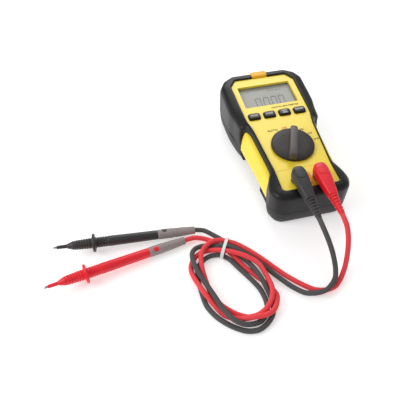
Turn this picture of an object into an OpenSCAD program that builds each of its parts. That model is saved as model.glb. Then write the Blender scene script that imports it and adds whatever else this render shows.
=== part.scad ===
// Handheld digital multimeter with its two test leads.
// Origin: centre of the underside of the meter. +Z up, +Y towards the display end.

/* [Body] */
// Length of the meter over its rubber ends
body_len = 158; // [150:1:170]
// Width of the meter over its rubber shoulders
body_w = 84; // [80:1:88]
// Height of the front panel above the table at mid length
face_mid = 37.4; // [35:0.2:42]
// Slope of the front panel, higher at the display end
face_tilt = 3.5; // [2:0.5:5]
// Height of the joint between the front and the rear case
joint_h = 14; // [12:0.5:16]
// Wall of the moulded cases
wall = 2.4; // [2:0.1:2.8]
// Drop from the front panel to the shoulder that carries the rubber
shoulder_drop = 5; // [4:0.2:6]
// Lean of the slanting flanks from the upright, in degrees
flank_lean = 31; // [28:0.5:33]
// Rubber rim above the front panel
rim_rise = 1.6; // [1:0.2:2.4]

/* [Display] */
// Width of the display opening
lcd_w = 52; // [46:1:54]
// Height of the display opening
lcd_h = 29.6; // [26:0.2:31]
// Place of the display along the meter
lcd_y = 46; // [44:0.5:48]

/* [Controls] */
// Pitch of the four buttons
key_pitch = 14.6; // [13:0.2:15]
// Place of the buttons along the meter
key_y = 18.2; // [16:0.2:20]
// Travel of a button
key_travel = 1; // [0.6:0.1:1.2]
// Diameter of the rotary knob
knob_d = 38; // [32:1:40]
// Place of the knob along the meter
knob_y = -23.5; // [-26:0.5:-22]
// Angle of the knob's pointer, clockwise from the display end
knob_rest = 21; // [0:1:60]
// Radius of the knob's shaft
shaft_r = 6; // [4:0.5:7]

/* [Jacks and plugs] */
// Pitch of the two input jacks
jack_pitch = 19; // [18:0.5:20]
// Place of the jacks along the meter
jack_y = -62; // [-64:0.5:-60]
// Radius of a banana pin
pin_r = 2; // [1.9:0.05:2.1]
// Running clearance of the banana pin and of the knob's shaft
fit_gap = 0.06; // [0.03:0.01:0.1]
// Length of a plug's arm from the jack to its ribbed relief
arm_len = 26; // [22:1:30]
// Length of the ribbed relief
relief_len = 18; // [14:1:22]

/* [Leads and probes] */
// Diameter of the leads
lead_d = 4; // [3.6:0.1:4]
// Length of a probe
probe_len = 116; // [110:1:122]
// Radius of a probe's finger guard
guard_r = 7.7; // [7:0.1:8]

/* [Hidden] */
$fn = 48;
tilt_tan = tan(face_tilt);
half_w = body_w / 2;
half_len = body_len / 2;
soft_fn = 24;
lip = 2.5;
flank_reach = 47.2;
flank_taper = 1.7;
flank_end = 18;
tray_reach = 28.9;
tray_lean = 22.8;
waist_low = -38;
waist_high = 3;
boss_z = 8.2;
arm_r = 5.3;
floor_top = 6.4;
jack_x = jack_pitch / 2;
key_xs = [-1.5 * key_pitch, -0.5 * key_pitch, 0.5 * key_pitch, 1.5 * key_pitch];
board_top = -14;
board_t = 1.6;
post_spots = [[-26, 6], [26, 6], [-20, -46], [20, -46]];
boss_spots = [[-27, 68.5], [27, 68.5], [-25.5, -65], [25.5, -65]];
stand_y = 42;
stand_z = 3.3;
stand_pin_r = 1.3;
cell_r = 5.25;
cell_len = 44.5;
cell_z = 11.8;
arm_h = 6.8;
cover_z = 4;
cover_screw_y = 33.4;
socket_r = 5.1;
shroud_r = 4.8;
needle_out = 3.6;
needle_root_r = 0.9;
sleeve_len = 31;
sleeve_r = 4.1;
needle_r = 1;
tie_at = [-80.5, -95, 0];
tie_turn = -30;

// Half outlines seen from above, from the display end to the jack end
panel_half = [[25.5, 70.8], [31.5, 62.5], [30.8, 15.6], [28, 1], [24.8, -49.5], [25.2, -70.5]];
case_half = [[25, half_len - 2.5], [35.5, 71], [half_w - 3, 62], [half_w - 3, 30], [38.5, 16],
    [35.6, -20], [33.8, -45], [33.4, -60], [30.6, -71.5], [25, 2.5 - half_len]];
frame_half = [[27, half_len], [37, 73.5], [half_w, 65], [half_w, 38], [39.6, 20], [36.6, 11],
    [30.4, 3], [28.8, -20], [28, -38], [34, -52], [35, -64], [32, -73.5], [26, -half_len]];

// Routes of the two leads, from the plug's relief to the probe's sleeve
black_route = [
    [-9.5, -107, 37.5], [-9, -115.5, 35.5], [-6.5, -122.5, 28.5], [-3.5, -128, 18.5],
    [-2.5, -134.5, 10], [-4.5, -141, 6.5], [-9, -146, 6.5], [-15.5, -150, 6],
    [-23.5, -150, 4.5], [-31.5, -146.5, 2.5], [-39.5, -138, 2], [-46, -128.5, 2],
    [-53, -118.5, 3], [-60.5, -109.5, 5], [-68.5, -101, 6.5], [-78.5, -94, 8],
    [-89, -89.5, 4], [-96, -86.5, 3], [-103, -88, 3.5], [-107, -93.5, 5.5],
    [-108, -102, 7], [-106.5, -113.5, 7.5], [-103, -125, 7.5], [-99.5, -136.5, 7.5],
    [-96, -148, 7], [-91, -158, 7.5], [-84.5, -162.5, 6], [-77, -163, 4],
    [-70, -161, 2.5], [-64.5, -155.5, 2], [-62, -147, 2], [-63, -136, 2],
    [-67.5, -125, 2], [-73, -114.5, 2], [-79, -104, 3], [-85.5, -98, 2.5],
    [-92.5, -97, 2], [-99, -99.5, 2], [-105, -105.5, 2], [-107.5, -116, 2],
    [-107.5, -128, 2], [-106.5, -140, 2], [-101.5, -150.5, 2], [-93.5, -159.5, 2],
    [-84, -166, 2], [-75, -167.5, 2], [-67.5, -164.5, 2], [-61, -158.5, 2],
    [-57.5, -149.5, 2], [-58.5, -139, 4.5], [-61, -127.5, 7.5], [-64, -115, 5],
    [-67.5, -105.5, 2], [-73.5, -94.5, 2.5], [-79.5, -84.5, 3], [-85.5, -77.5, 3],
    [-92, -72, 4], [-99, -70, 4.5]];
red_route = [
    [9.5, -107, 37.5], [9.5, -115.5, 35.5], [10, -121.5, 28], [9.5, -127, 18],
    [6.5, -134, 8.5], [1, -141, 3.5], [-6, -146.5, 2], [-14, -148, 2],
    [-23, -145.5, 2], [-31.5, -138, 2], [-39.5, -129, 2], [-46.5, -119.5, 2.5],
    [-54, -110, 4], [-62, -101, 5.5], [-70.5, -93, 6.5], [-80, -88, 7.5],
    [-88.5, -87.5, 8.5], [-95.5, -91, 8], [-100.5, -97.5, 7.5], [-102.5, -108.5, 6],
    [-102, -120, 3.5], [-100.5, -131.5, 2], [-95.5, -142, 2], [-88, -150.5, 2],
    [-79.5, -156, 2.5], [-72, -157, 4.5], [-65, -154.5, 6.5], [-59, -148.5, 7.5],
    [-55.5, -139.5, 8], [-56, -127.5, 7], [-59, -116, 8], [-67, -107.5, 8.5],
    [-76.5, -100.5, 8], [-87, -95, 6], [-96, -92.5, 3.5], [-103, -94, 2],
    [-108.5, -99.5, 2], [-111, -107.5, 3], [-110, -118.5, 6], [-106.5, -130, 6.5],
    [-101.5, -140.5, 4], [-95.5, -150.5, 2], [-86, -157, 4.5], [-76.5, -159.5, 7.5],
    [-67, -160, 8], [-60, -157, 7], [-55.5, -151, 6], [-53, -143.5, 4],
    [-56, -133.5, 2], [-62.5, -123.5, 2], [-69, -113, 2], [-74, -103, 2.5],
    [-80, -92, 2.5], [-87, -84, 2.5], [-94, -79.5, 3], [-101.5, -77.5, 4],
    [-109.5, -78.5, 4.5]];

function face_z(y) = face_mid + y * tilt_tan;
function level_z(y, level) = face_z(y) + level / cos(face_tilt);
function mirrored(half) =
    concat(half, [for (i = [len(half) - 1 : -1 : 0]) [-half[i][0], half[i][1]]]);
function unit(v) = v / norm(v);

// Moves its children to a spot on the front panel, with +Z along the panel's normal
module on_face(x, y) { translate([x, y, face_z(y)]) rotate([face_tilt, 0, 0]) children(); }

// A closed outline with its corners rounded, grown or shrunk by a margin
module outline(half, round_r, margin = 0) {
    offset(r = round_r, $fn = soft_fn) offset(delta = margin - round_r) polygon(mirrored(half));
}

// A solid that stands on an outline and ends at a level parallel to the front panel
module slab(half, round_r, margin, bottom, level) {
    intersection() {
        translate([0, 0, bottom]) linear_extrude(80) outline(half, round_r, margin);
        rotate([90, 0, 90]) translate([0, 0, -60]) linear_extrude(120)
            polygon([[-100, bottom], [100, bottom],
                [100, level_z(100, level)], [-100, level_z(-100, level)]]);
    }
}

module rounded_box(w, d, h, r) {
    linear_extrude(h) offset(r = r, $fn = soft_fn) square([w - 2 * r, d - 2 * r], center = true);
}

module panel_slab(margin, bottom, level) { slab(panel_half, 2.5, margin, bottom, level); }

// The case's flanks: upright at the joint, cut back by a slanting plane beside the panel
module flank(margin, bottom, level) {
    difference() {
        slab(case_half, 6, margin, bottom, level);
        for (s = [0, 1]) mirror([s, 0, 0]) intersection() {
            translate([flank_reach, 0, 0]) rotate([0, 0, -flank_taper]) rotate([0, -flank_lean, 0])
                translate([margin, -150, -150]) cube([100, 300, 300]);
            translate([0, flank_end - 200, 0]) cube([100, 200, 100]);
        }
    }
}

// Core of the rear case, undercut along the waist between the two rear bumpers
module tray_core() {
    difference() {
        translate([0, 0, 1]) linear_extrude(joint_h - 1) outline(case_half, 6, -wall - 0.3);
        for (s = [0, 1]) mirror([s, 0, 0]) intersection() {
            translate([tray_reach, 0, 0]) rotate([0, tray_lean, 0])
                translate([0, -100, -50]) cube([60, 200, 100]);
            translate([0, waist_low, -10]) cube([100, waist_high - waist_low, 60]);
        }
    }
}

// Yellow front case with the openings for the display, buttons, knob and jacks
module front_case() {
    color("gold") difference() {
        union() {
            difference() {
                union() {
                    flank(0, joint_h, -shoulder_drop);
                    panel_slab(0, joint_h, 0);
                }
                flank(-wall, joint_h - 1, -shoulder_drop - wall);
                panel_slab(-wall, joint_h - 1, -wall);
            }
            for (p = post_spots) on_face(p[0], p[1])
                translate([0, 0, board_top]) cylinder(r = 2.4, h = -board_top - 1);
            intersection() {
                for (p = boss_spots) translate([p[0], p[1], boss_z]) cylinder(r = 3, h = 60);
                flank(-1, 0, -shoulder_drop - 1);
            }
            on_face(0, knob_y) translate([0, 0, -8.1]) difference() {
                cylinder(r = 14.5, h = 6.8);
                translate([0, 0, -1]) cylinder(r = 11.5, h = 9);
            }
            for (s = [-1, 1]) on_face(s * jack_x, jack_y)
                translate([0, 0, board_top + 0.1]) cylinder(r = 6.6, h = -board_top - 1);
        }
        on_face(0, lcd_y) translate([0, 0, -6]) rounded_box(lcd_w, lcd_h, 12, 0.8);
        for (x = key_xs) on_face(x, key_y) translate([0, 0, -6]) rounded_box(11.6, 8.1, 12, 1.8);
        on_face(0, knob_y) translate([0, 0, -6]) cylinder(r = shaft_r + fit_gap, h = 12);
        for (s = [-1, 1]) on_face(s * jack_x, jack_y)
            translate([0, 0, board_top - 1]) cylinder(r = socket_r, h = 30);
        for (p = boss_spots) translate([p[0], p[1], 0]) cylinder(r = 1.3, h = 23);
    }
}

// Dark rear case: a shallow tray with the stand's pocket and the battery bay
module rear_case() {
    color([0.16, 0.16, 0.17]) difference() {
        union() {
            difference() {
                union() {
                    tray_core();
                    translate([0, 0, joint_h - 1]) linear_extrude(lip) outline(case_half, 6, -wall - 0.3);
                }
                translate([0, 0, floor_top]) linear_extrude(30) outline(case_half, 4, -2 * wall - 0.1);
            }
            for (s = [-1, 1]) translate([s * 13 - 0.7, -19, 6]) cube([1.4, 49, 8]);
            translate([0, cover_screw_y, 5.6]) cylinder(r = 2.8, h = 7);
        }
        for (p = boss_spots) {
            translate([p[0], p[1], floor_top]) cylinder(r = 3.3, h = 20);
            translate([p[0], p[1], 0]) cylinder(r = 1.6, h = 20);
            translate([p[0], p[1], 0]) cylinder(r = 3.2, h = 4);
        }
        translate([-24.3, -26.6, 0]) cube([48.6, 71.1, 3.9]);
        translate([-24.3, stand_y - 2.5, 0]) cube([48.6, 5, 5.5]);
        translate([-27.5, stand_y, stand_z]) rotate([0, 90, 0])
            cylinder(r = stand_pin_r + fit_gap, h = 55);
        translate([-20, -20.3, 0]) cube([40, 56.6, 5.6]);
        translate([-12, -18.5, 0]) cube([24, 48, 12]);
        translate([0, cover_screw_y, 0]) cylinder(r = 1.25, h = 11);
    }
}

// Black rubber frame around the front panel, open for the amber lens
module front_rubber_frame() {
    color([0.13, 0.13, 0.14]) difference() {
        slab(frame_half, 5, 0, joint_h, rim_rise);
        linear_extrude(90) outline(panel_half, 2.5);
        flank(0, 0, -shoulder_drop);
        translate([-8.3, 69, 30]) cube([16.6, 20, 30]);
    }
}

module rear_rubber(y_low, y_high) {
    color([0.24, 0.24, 0.25]) difference() {
        intersection() {
            linear_extrude(joint_h - 0.2) outline(case_half, 6, 0.8);
            translate([-60, y_low, -1]) cube([120, y_high - y_low, 40]);
        }
        translate([0, 0, 1]) linear_extrude(30) outline(case_half, 6, -wall - 0.3);
        translate([-33, -58, -1]) cube([66, 116, 10]);
        for (p = boss_spots) translate([p[0], p[1], -1]) cylinder(r = 3.4, h = 5);
    }
}

module rear_bumper_top() { rear_rubber(waist_high, 100); }
module rear_bumper_bottom() { rear_rubber(-100, waist_low); }

module display_window() {
    color([0.8, 0.85, 0.85, 0.4]) on_face(0, lcd_y) translate([0, 0, -wall - 1])
        rounded_box(56, 33, 1, 1);
}

module lcd_glass() {
    color([0.66, 0.68, 0.66]) on_face(0, lcd_y) translate([-27, -17, -5.8]) cube([54, 34, 2.2]);
}

module lcd_holder() {
    color("white") on_face(0, lcd_y) translate([0, 0, -9]) difference() {
        rounded_box(56.6, 36.8, 5.5, 3);
        translate([-27.2, -17.2, -1]) cube([54.4, 34.4, 8]);
    }
}

module backlight() {
    color("ivory") on_face(0, lcd_y) translate([-25, -13.5, -8.5]) cube([50, 27, 2.5]);
}

module zebra_strips() {
    color([0.3, 0.3, 0.32]) for (s = [-1, 1]) on_face(0, lcd_y + 15.5 * s)
        translate([-24, -1, board_top]) cube([48, 2, -board_top - 5.9]);
}

// Circuit board, parallel to the front panel
module main_board() {
    color("darkgreen") difference() {
        intersection() {
            linear_extrude(80) outline(panel_half, 2.5, -0.8);
            rotate([90, 0, 90]) translate([0, 0, -60]) linear_extrude(120) polygon([
                [-70, level_z(-70, board_top - board_t)], [70, level_z(70, board_top - board_t)],
                [70, level_z(70, board_top)], [-70, level_z(-70, board_top)]]);
        }
        for (p = boss_spots) translate([p[0], p[1], 0]) cylinder(r = 3.4, h = 60);
        for (p = post_spots) on_face(p[0], p[1]) translate([0, 0, -30]) cylinder(r = 1.2, h = 30);
        on_face(0, knob_y) translate([0, 0, -30]) cylinder(r = 4, h = 30);
    }
}

module meter_chip() {
    color([0.1, 0.1, 0.1]) on_face(0, 8) translate([0, 0, board_top - board_t - 1.8])
        linear_extrude(1.8) square(14, center = true);
}

// Small parts on the underside of the board, as separate solids
module board_parts() {
    under = board_top - board_t;
    color("saddlebrown") {
        for (x = [-16 : 8 : 16]) on_face(x, 50) translate([-1.6, -0.8, under - 0.9])
            cube([3.2, 1.6, 0.9]);
        for (x = [-18, -11]) on_face(x, -53) translate([0, 0, under - 6]) cylinder(r = 2.5, h = 6);
        for (x = [10, 18]) on_face(x, -56) translate([-2.5, -4, under - 3]) cube([5, 8, 3]);
        on_face(0, 38) translate([-5, -2, under - 2.5]) cube([10, 4, 2.5]);
    }
}

// Silicone sheet with a dome under each button
module button_pad() {
    color([0.75, 0.75, 0.72]) {
        on_face(0, key_y) translate([-28, -5, board_top]) cube([56, 10, 0.8]);
        for (x = key_xs) on_face(x, key_y) translate([0, 0, board_top + 0.8])
            cylinder(r1 = 3.4, r2 = 2.4, h = 0.8, $fn = 24);
    }
}

module key(x) {
    color([0.1, 0.1, 0.11]) on_face(x, key_y) {
        translate([0, 0, -3]) rounded_box(11, 7.5, 5, 1.5);
        translate([0, 0, -3.6]) rounded_box(12.6, 9.1, 1, 1);
        translate([0, 0, -11.2]) linear_extrude(8) square(4, center = true);
    }
}

module button_1() { key(key_xs[0]); }
module button_2() { key(key_xs[1]); }
module button_3() { key(key_xs[2]); }
module button_4() { key(key_xs[3]); }

module on_knob() { on_face(0, knob_y) rotate([0, 0, -knob_rest]) children(); }

// Rotary knob: a flat disc, a grip bar with a pointer and a shaft
module knob() {
    color([0.22, 0.21, 0.21]) on_knob() {
        translate([0, 0, 0.4]) cylinder(r = knob_d / 2, h = 3, $fn = 96);
        translate([0, 0, 3]) linear_extrude(6.4)
            polygon([[-3.6, -18.6], [3.6, -18.6], [3.6, 15], [1.4, 19.6], [-1.4, 19.6], [-3.6, 15]]);
        difference() {
            translate([0, 0, -9.4]) cylinder(r = shaft_r, h = 10);
            translate([0, 0, -10]) cylinder(r = 2.5, h = 6);
        }
    }
}

// Carrier of the range switch, fixed on the knob's shaft
module switch_rotor() {
    color("whitesmoke") on_knob() difference() {
        union() {
            translate([0, 0, board_top + 0.6]) cylinder(r = 16, h = 4);
            translate([0, 0, -10]) cylinder(r = 2.45, h = 5);
        }
        for (a = [0, 180]) rotate([0, 0, a]) translate([13, 0, board_top + 1.2])
            cylinder(r = 1.7, h = 6);
    }
}

module switch_contacts() {
    color("goldenrod") on_knob() for (a = [60, 180, 300]) rotate([0, 0, a])
        translate([6.5, -1, board_top + 0.3]) cube([7, 2, 0.3]);
}

module detent_springs() {
    color("silver") on_knob() for (a = [0, 180]) rotate([0, 0, a])
        translate([13, 0, board_top + 1.2]) difference() {
            cylinder(r = 1.4, h = 1.6);
            translate([0, 0, -1]) cylinder(r = 1, h = 4);
        }
}

module detent_balls() {
    color("silver") on_knob() for (a = [0, 180]) rotate([0, 0, a])
        translate([13, 0, board_top + 4.1]) sphere(r = 1.5, $fn = 24);
}

// Brass sleeve of an input jack, soldered on the board
module jack_sleeve(x) {
    color("goldenrod") on_face(x, jack_y) translate([0, 0, board_top]) difference() {
        union() {
            cylinder(r = 2.8, h = -board_top - 1);
            cylinder(r = 4, h = 0.8);
        }
        translate([0, 0, 1]) cylinder(r = pin_r + fit_gap, h = 20);
    }
}

module jack_common() { jack_sleeve(-jack_x); }
module jack_volts() { jack_sleeve(jack_x); }

module fuse() {
    color([0.85, 0.82, 0.7]) on_face(0, -46) translate([-11, 0, board_top - board_t - 4.5])
        rotate([0, 90, 0]) cylinder(r = 3, h = 22);
}

module fuse_clips() {
    color("silver") for (s = [-1, 1]) on_face(s * 8, -46)
        translate([-2, -3.8, board_top - board_t - 5]) difference() {
            cube([4, 7.6, 5]);
            translate([-1, 3.8, 0.5]) rotate([0, 90, 0]) cylinder(r = 3.02, h = 6);
        }
}

module buzzer() {
    color([0.15, 0.15, 0.15]) on_face(21, -12) translate([0, 0, board_top - board_t - 3.4])
        difference() {
            cylinder(r = 6.5, h = 3.4);
            translate([0, 0, -1]) cylinder(r = 1, h = 2.4);
        }
}

// Amber light window at the display end, seated on the shoulder of the case
module amber_lens() {
    color([1, 0.6, 0.1, 0.85]) difference() {
        translate([0, 75, 31]) linear_extrude(face_z(75) + rim_rise + 0.6 - 31)
            offset(r = 1, $fn = 16) square([14, 5.6], center = true);
        flank(0, 0, -shoulder_drop);
    }
}

module alert_led() {
    color([1, 0.4, 0.2]) on_face(0, 66.6) translate([0, 0, board_top]) {
        cylinder(r = 1.5, h = 3.6);
        translate([0, 0, 3.6]) sphere(r = 1.5, $fn = 24);
    }
}

module cell(x) {
    color([0.75, 0.75, 0.78]) translate([x, -16.6, cell_z]) rotate([-90, 0, 0]) {
        cylinder(r = cell_r, h = cell_len - 1);
        cylinder(r = 1.9, h = cell_len);
    }
}

module battery_left() { cell(-6); }
module battery_right() { cell(6); }

// Contact plates and springs of the battery bay
module battery_contacts() {
    color("silver") for (s = [-1, 1]) {
        translate([s * 6 - 4, -18.4, cell_z - 4]) cube([8, 0.4, 8]);
        translate([s * 6 - 4, 28.2, cell_z - 4]) cube([8, 0.4, 8]);
        translate([s * 6, -18, cell_z]) rotate([-90, 0, 0]) rotate_extrude($fn = 32)
            translate([2, 0.6]) circle(r = 0.5, $fn = 16);
    }
}

module battery_cover() {
    color([0.18, 0.18, 0.19]) difference() {
        translate([-19.7, -20, cover_z]) cube([39.4, 56, 1.6]);
        translate([0, cover_screw_y, 0]) cylinder(r = 1.5, h = 20);
        translate([0, cover_screw_y, 0]) cylinder(r = 2.2, h = cover_z + 0.6);
    }
}

module cover_screw() {
    color("silver") translate([0, cover_screw_y, 0]) difference() {
        union() {
            translate([0, 0, cover_z]) cylinder(r = 2, h = 0.6);
            translate([0, 0, cover_z + 0.6]) cylinder(r = 1.2, h = 5.4);
        }
        translate([-1.4, -0.25, cover_z - 0.1]) cube([2.8, 0.5, 0.4]);
    }
}

module case_screws() {
    color("silver") for (p = boss_spots) translate([p[0], p[1], 0]) difference() {
        union() {
            translate([0, 0, 2]) cylinder(r = 2.8, h = 2);
            translate([0, 0, 4]) cylinder(r = 1.25, h = 17);
        }
        for (a = [0, 90]) rotate([0, 0, a]) translate([-1.6, -0.3, 1]) cube([3.2, 0.6, 1.8]);
    }
}

module board_screws() {
    color("silver") for (p = post_spots) on_face(p[0], p[1]) {
        translate([0, 0, board_top - board_t - 1.2]) cylinder(r = 2, h = 1.2);
        translate([0, 0, board_top - board_t]) cylinder(r = 1.1, h = board_t);
    }
}

// Folding stand on the back, hinged at its display end
module tilt_stand() {
    color([0.2, 0.2, 0.21]) {
        translate([-23.6, stand_y, stand_z]) rotate([0, 90, 0]) cylinder(r = 1.9, h = 47.2);
        translate([-26.9, stand_y, stand_z]) rotate([0, 90, 0]) cylinder(r = stand_pin_r, h = 53.8);
        difference() {
            translate([-23.6, -26, 1.5]) cube([47.2, stand_y + 26, 2]);
            translate([0, -27, 0]) cylinder(r = 7, h = 10);
        }
    }
}

// Right-angle plug: a round head on the jack, a shroud in it and an arm to the lead
module plug_body(x) {
    on_face(x, jack_y) {
        difference() {
            union() {
                translate([0, 0, 0.3]) cylinder(r = 6.3, h = 11.7);
                translate([0, 0, -12]) cylinder(r = shroud_r, h = 13);
            }
            translate([0, 0, -13]) cylinder(r = 3.6, h = 13);
            translate([0, 0, -1]) cylinder(r = pin_r, h = 7);
        }
        difference() {
            translate([0, 0, arm_h]) rotate([90, 0, 0]) cylinder(r1 = arm_r, r2 = 4, h = arm_len);
            translate([0, 0, -3]) cylinder(r = 6, h = 20);
        }
    }
}

module plug_pin(x) {
    color("silver") on_face(x, jack_y) {
        translate([0, 0, -12.6]) cylinder(r = pin_r, h = 18.6);
    }
}

module plug_relief(x) {
    on_face(x, jack_y) translate([0, -arm_len, arm_h]) rotate([90, 0, 0]) rotate_extrude()
        polygon(concat([[0, 0]], [for (i = [0 : 5]) each let (
            r = 4 - 0.22 * i, z = i * relief_len / 6) [
                [r, z], [r, z + 2], [r - 0.9, z + 2], [r - 0.9, z + 3]]], [[0, relief_len]]));
}

module black_plug() { color([0.17, 0.17, 0.18]) plug_body(-jack_x); }
module black_plug_pin() { plug_pin(-jack_x); }
module black_plug_relief() { color([0.17, 0.17, 0.18]) plug_relief(-jack_x); }
module red_plug() { color([0.9, 0.1, 0.12]) plug_body(jack_x); }
module red_plug_pin() { plug_pin(jack_x); }
module red_plug_relief() { color([0.9, 0.1, 0.12]) plug_relief(jack_x); }

// A round tube along a route, with one ring at each of its points
module lead(route, sides = 8) {
    n = len(route);
    dirs = [for (i = [0 : n - 1]) unit(route[min(i + 1, n - 1)] - route[max(i - 1, 0)])];
    rings = [for (i = [0 : n - 1]) let (
        side = unit(cross(dirs[i], [0, 0, 1])), up = cross(side, dirs[i]))
        for (k = [0 : sides - 1]) let (a = 360 * (k + 0.5) / sides)
            route[i] + lead_d / 2 * (cos(a) * side + sin(a) * up)];
    walls = [for (i = [0 : n - 2], k = [0 : sides - 1]) let (j = (k + 1) % sides)
        [i * sides + k, i * sides + j, (i + 1) * sides + j, (i + 1) * sides + k]];
    first = [[for (k = [sides - 1 : -1 : 0]) k]];
    last = [[for (k = [0 : sides - 1]) (n - 1) * sides + k]];
    polyhedron(points = rings, faces = concat(walls, first, last), convexity = 10);
}

module black_lead() { color([0.2, 0.2, 0.2]) lead(black_route); }
module red_lead() { color([0.9, 0.1, 0.12]) lead(red_route); }

// Lays a probe with its rear end at a spot, its tip towards a heading and slightly raised.
// In the probe's own frame the tip is at 0 and +Z runs to the rear.
module lay_probe(rear, heading) {
    rise = asin((guard_r - sleeve_r) / (probe_len - 34.5));
    translate(rear) rotate([0, 0, heading]) rotate([0, 90 - rise, 0])
        translate([0, 0, probe_len]) mirror([0, 0, 1]) children();
}

module black_lay() { lay_probe([-99.2, -70, 4.4], 177.4) children(); }
module red_lay() { lay_probe([-109.7, -78.5, 4.4], 191) children(); }

// A row of shallow ribs, as points of radius and height
function ribs(z, count, r, grow) = [for (i = [0 : count - 1]) each let (h = z + i * 2, q = r + grow * i)
    [[q, h], [q + 0.35, h + 0.4], [q + 0.35, h + 1.2], [q, h + 1.6]]];

module probe_body() {
    rear = probe_len - sleeve_len;
    difference() {
        rotate_extrude($fn = 40) polygon(concat(
            [[0, needle_out], [1.4, needle_out], [1.6, 11.4], [2, 12], [3.5, 16.4], [3.7, 18]],
            ribs(18.6, 6, 3.6, 0.08),
            [[4.1, 31.2], [5, 31.6], [guard_r - 0.3, 32], [guard_r, 33], [guard_r - 0.3, 34],
                [5, 34.4], [4.2, 35]],
            ribs(36, 4, 4, -0.02),
            [[4.3, 45], [3.9, rear - 2], [3.8, rear], [0, rear]]));
        translate([0, 0, needle_out - 1]) cylinder(r = needle_root_r, h = 21 - needle_out);
    }
}

module probe_sleeve() {
    translate([0, 0, probe_len - sleeve_len]) rotate_extrude($fn = 40)
        polygon([[0, 0], [3.9, 0], [sleeve_r, 1], [sleeve_r, 12.4], [3.7, 12.8], [3.7, 13.4],
            [4, 13.8], [3.95, 16], [3.6, 16.4], [3.6, 17], [3.85, 17.4],
            [3.1, sleeve_len - 0.6], [2.8, sleeve_len], [0, sleeve_len]]);
}

module probe_needle() {
    rotate_extrude($fn = 32) polygon([[0, 0], [needle_r, 1.6], [needle_r, needle_out],
        [needle_root_r, needle_out], [needle_root_r, 20], [0, 20]]);
}

module black_probe_body() { color([0.17, 0.17, 0.18]) black_lay() probe_body(); }
module black_probe_sleeve() { color([0.42, 0.38, 0.37]) black_lay() probe_sleeve(); }
module black_probe_needle() { color("silver") black_lay() probe_needle(); }
module red_probe_body() { color([0.9, 0.1, 0.12]) red_lay() probe_body(); }
module red_probe_sleeve() { color([0.42, 0.38, 0.37]) red_lay() probe_sleeve(); }
module red_probe_needle() { color("silver") red_lay() probe_needle(); }

// White tie round the six strands of the bundle
module twist_tie() {
    color("white") translate(tie_at) rotate([0, 0, tie_turn]) rotate([90, 0, 90])
        translate([0, 0, -1.3]) linear_extrude(2.6) translate([0.8, 5.2]) difference() {
            offset(r = 4.4, $fn = soft_fn) square([11.6, 1.4], center = true);
            offset(r = 4, $fn = soft_fn) square([11.6, 1.4], center = true);
        }
}

front_case();
rear_case();
front_rubber_frame();
rear_bumper_top();
rear_bumper_bottom();
display_window();
lcd_glass();
lcd_holder();
backlight();
zebra_strips();
main_board();
meter_chip();
board_parts();
button_pad();
button_1();
button_2();
button_3();
button_4();
knob();
switch_rotor();
switch_contacts();
detent_springs();
detent_balls();
jack_common();
jack_volts();
fuse();
fuse_clips();
buzzer();
amber_lens();
alert_led();
battery_left();
battery_right();
battery_contacts();
battery_cover();
cover_screw();
case_screws();
board_screws();
tilt_stand();
black_plug();
black_plug_pin();
black_plug_relief();
black_lead();
black_probe_body();
black_probe_sleeve();
black_probe_needle();
red_plug();
red_plug_pin();
red_plug_relief();
red_lead();
red_probe_body();
red_probe_sleeve();
red_probe_needle();
twist_tie();
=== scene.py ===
"""Looks of a handheld digital multimeter with two test leads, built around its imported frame."""

import logging
import math
from dataclasses import dataclass, field
from enum import Enum
from typing import Callable, Sequence

import bmesh
import bpy
from mathutils import Matrix, Vector


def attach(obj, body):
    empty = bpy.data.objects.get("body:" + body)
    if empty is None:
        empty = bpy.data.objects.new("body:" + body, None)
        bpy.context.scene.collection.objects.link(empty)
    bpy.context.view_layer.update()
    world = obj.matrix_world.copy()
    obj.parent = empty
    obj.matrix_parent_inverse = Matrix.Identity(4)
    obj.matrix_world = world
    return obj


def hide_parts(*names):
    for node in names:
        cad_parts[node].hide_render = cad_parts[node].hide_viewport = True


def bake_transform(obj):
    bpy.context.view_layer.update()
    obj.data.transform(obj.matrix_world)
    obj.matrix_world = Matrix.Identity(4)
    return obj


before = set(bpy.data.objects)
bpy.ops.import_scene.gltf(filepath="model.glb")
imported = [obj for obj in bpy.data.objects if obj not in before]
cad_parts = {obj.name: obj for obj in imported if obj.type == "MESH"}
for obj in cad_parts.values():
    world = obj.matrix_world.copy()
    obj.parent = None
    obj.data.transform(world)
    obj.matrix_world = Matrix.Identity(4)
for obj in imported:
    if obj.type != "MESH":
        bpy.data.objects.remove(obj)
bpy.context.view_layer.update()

LOG = logging.getLogger("multimeter")
MM = 0.001
TILT = math.radians(3.5)
PANEL_MID = 37.4
SMOOTH_ANGLE = 38.0
UP = Vector((0.0, 0.0, 1.0))

Colour = tuple[float, float, float]
Place = tuple[float, float]
Spot = tuple[float, float, float]
Mesh = tuple[list[Vector], list[tuple[int, ...]]]


def srgb(red: int, green: int, blue: int) -> Colour:
    """Turns screen values into linear light.

    Args:
        red: Red, 0 to 255.
        green: Green, 0 to 255.
        blue: Blue, 0 to 255.

    Returns:
        The linear colour.
    """
    return tuple(
        v / 12.92 if v <= 0.04045 else ((v + 0.055) / 1.055) ** 2.4
        for v in (red / 255, green / 255, blue / 255)
    )


def panel_z(y: float) -> float:
    """Height of the front panel at a place along the meter, in millimetres."""
    return PANEL_MID + y * math.tan(TILT)


def on_panel(x: float, y: float, along: float = 0.0, up: float = 0.0) -> Vector:
    """Finds a point from a spot on the front panel.

    Args:
        x: The spot's place across the meter.
        y: The spot's place along the meter.
        along: Distance up the sloping panel, towards the display end.
        up: Distance out of the panel.

    Returns:
        The point in millimetres.
    """
    return Vector(
        (
            x,
            y + along * math.cos(TILT) - up * math.sin(TILT),
            panel_z(y) + along * math.sin(TILT) + up * math.cos(TILT),
        )
    )


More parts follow.
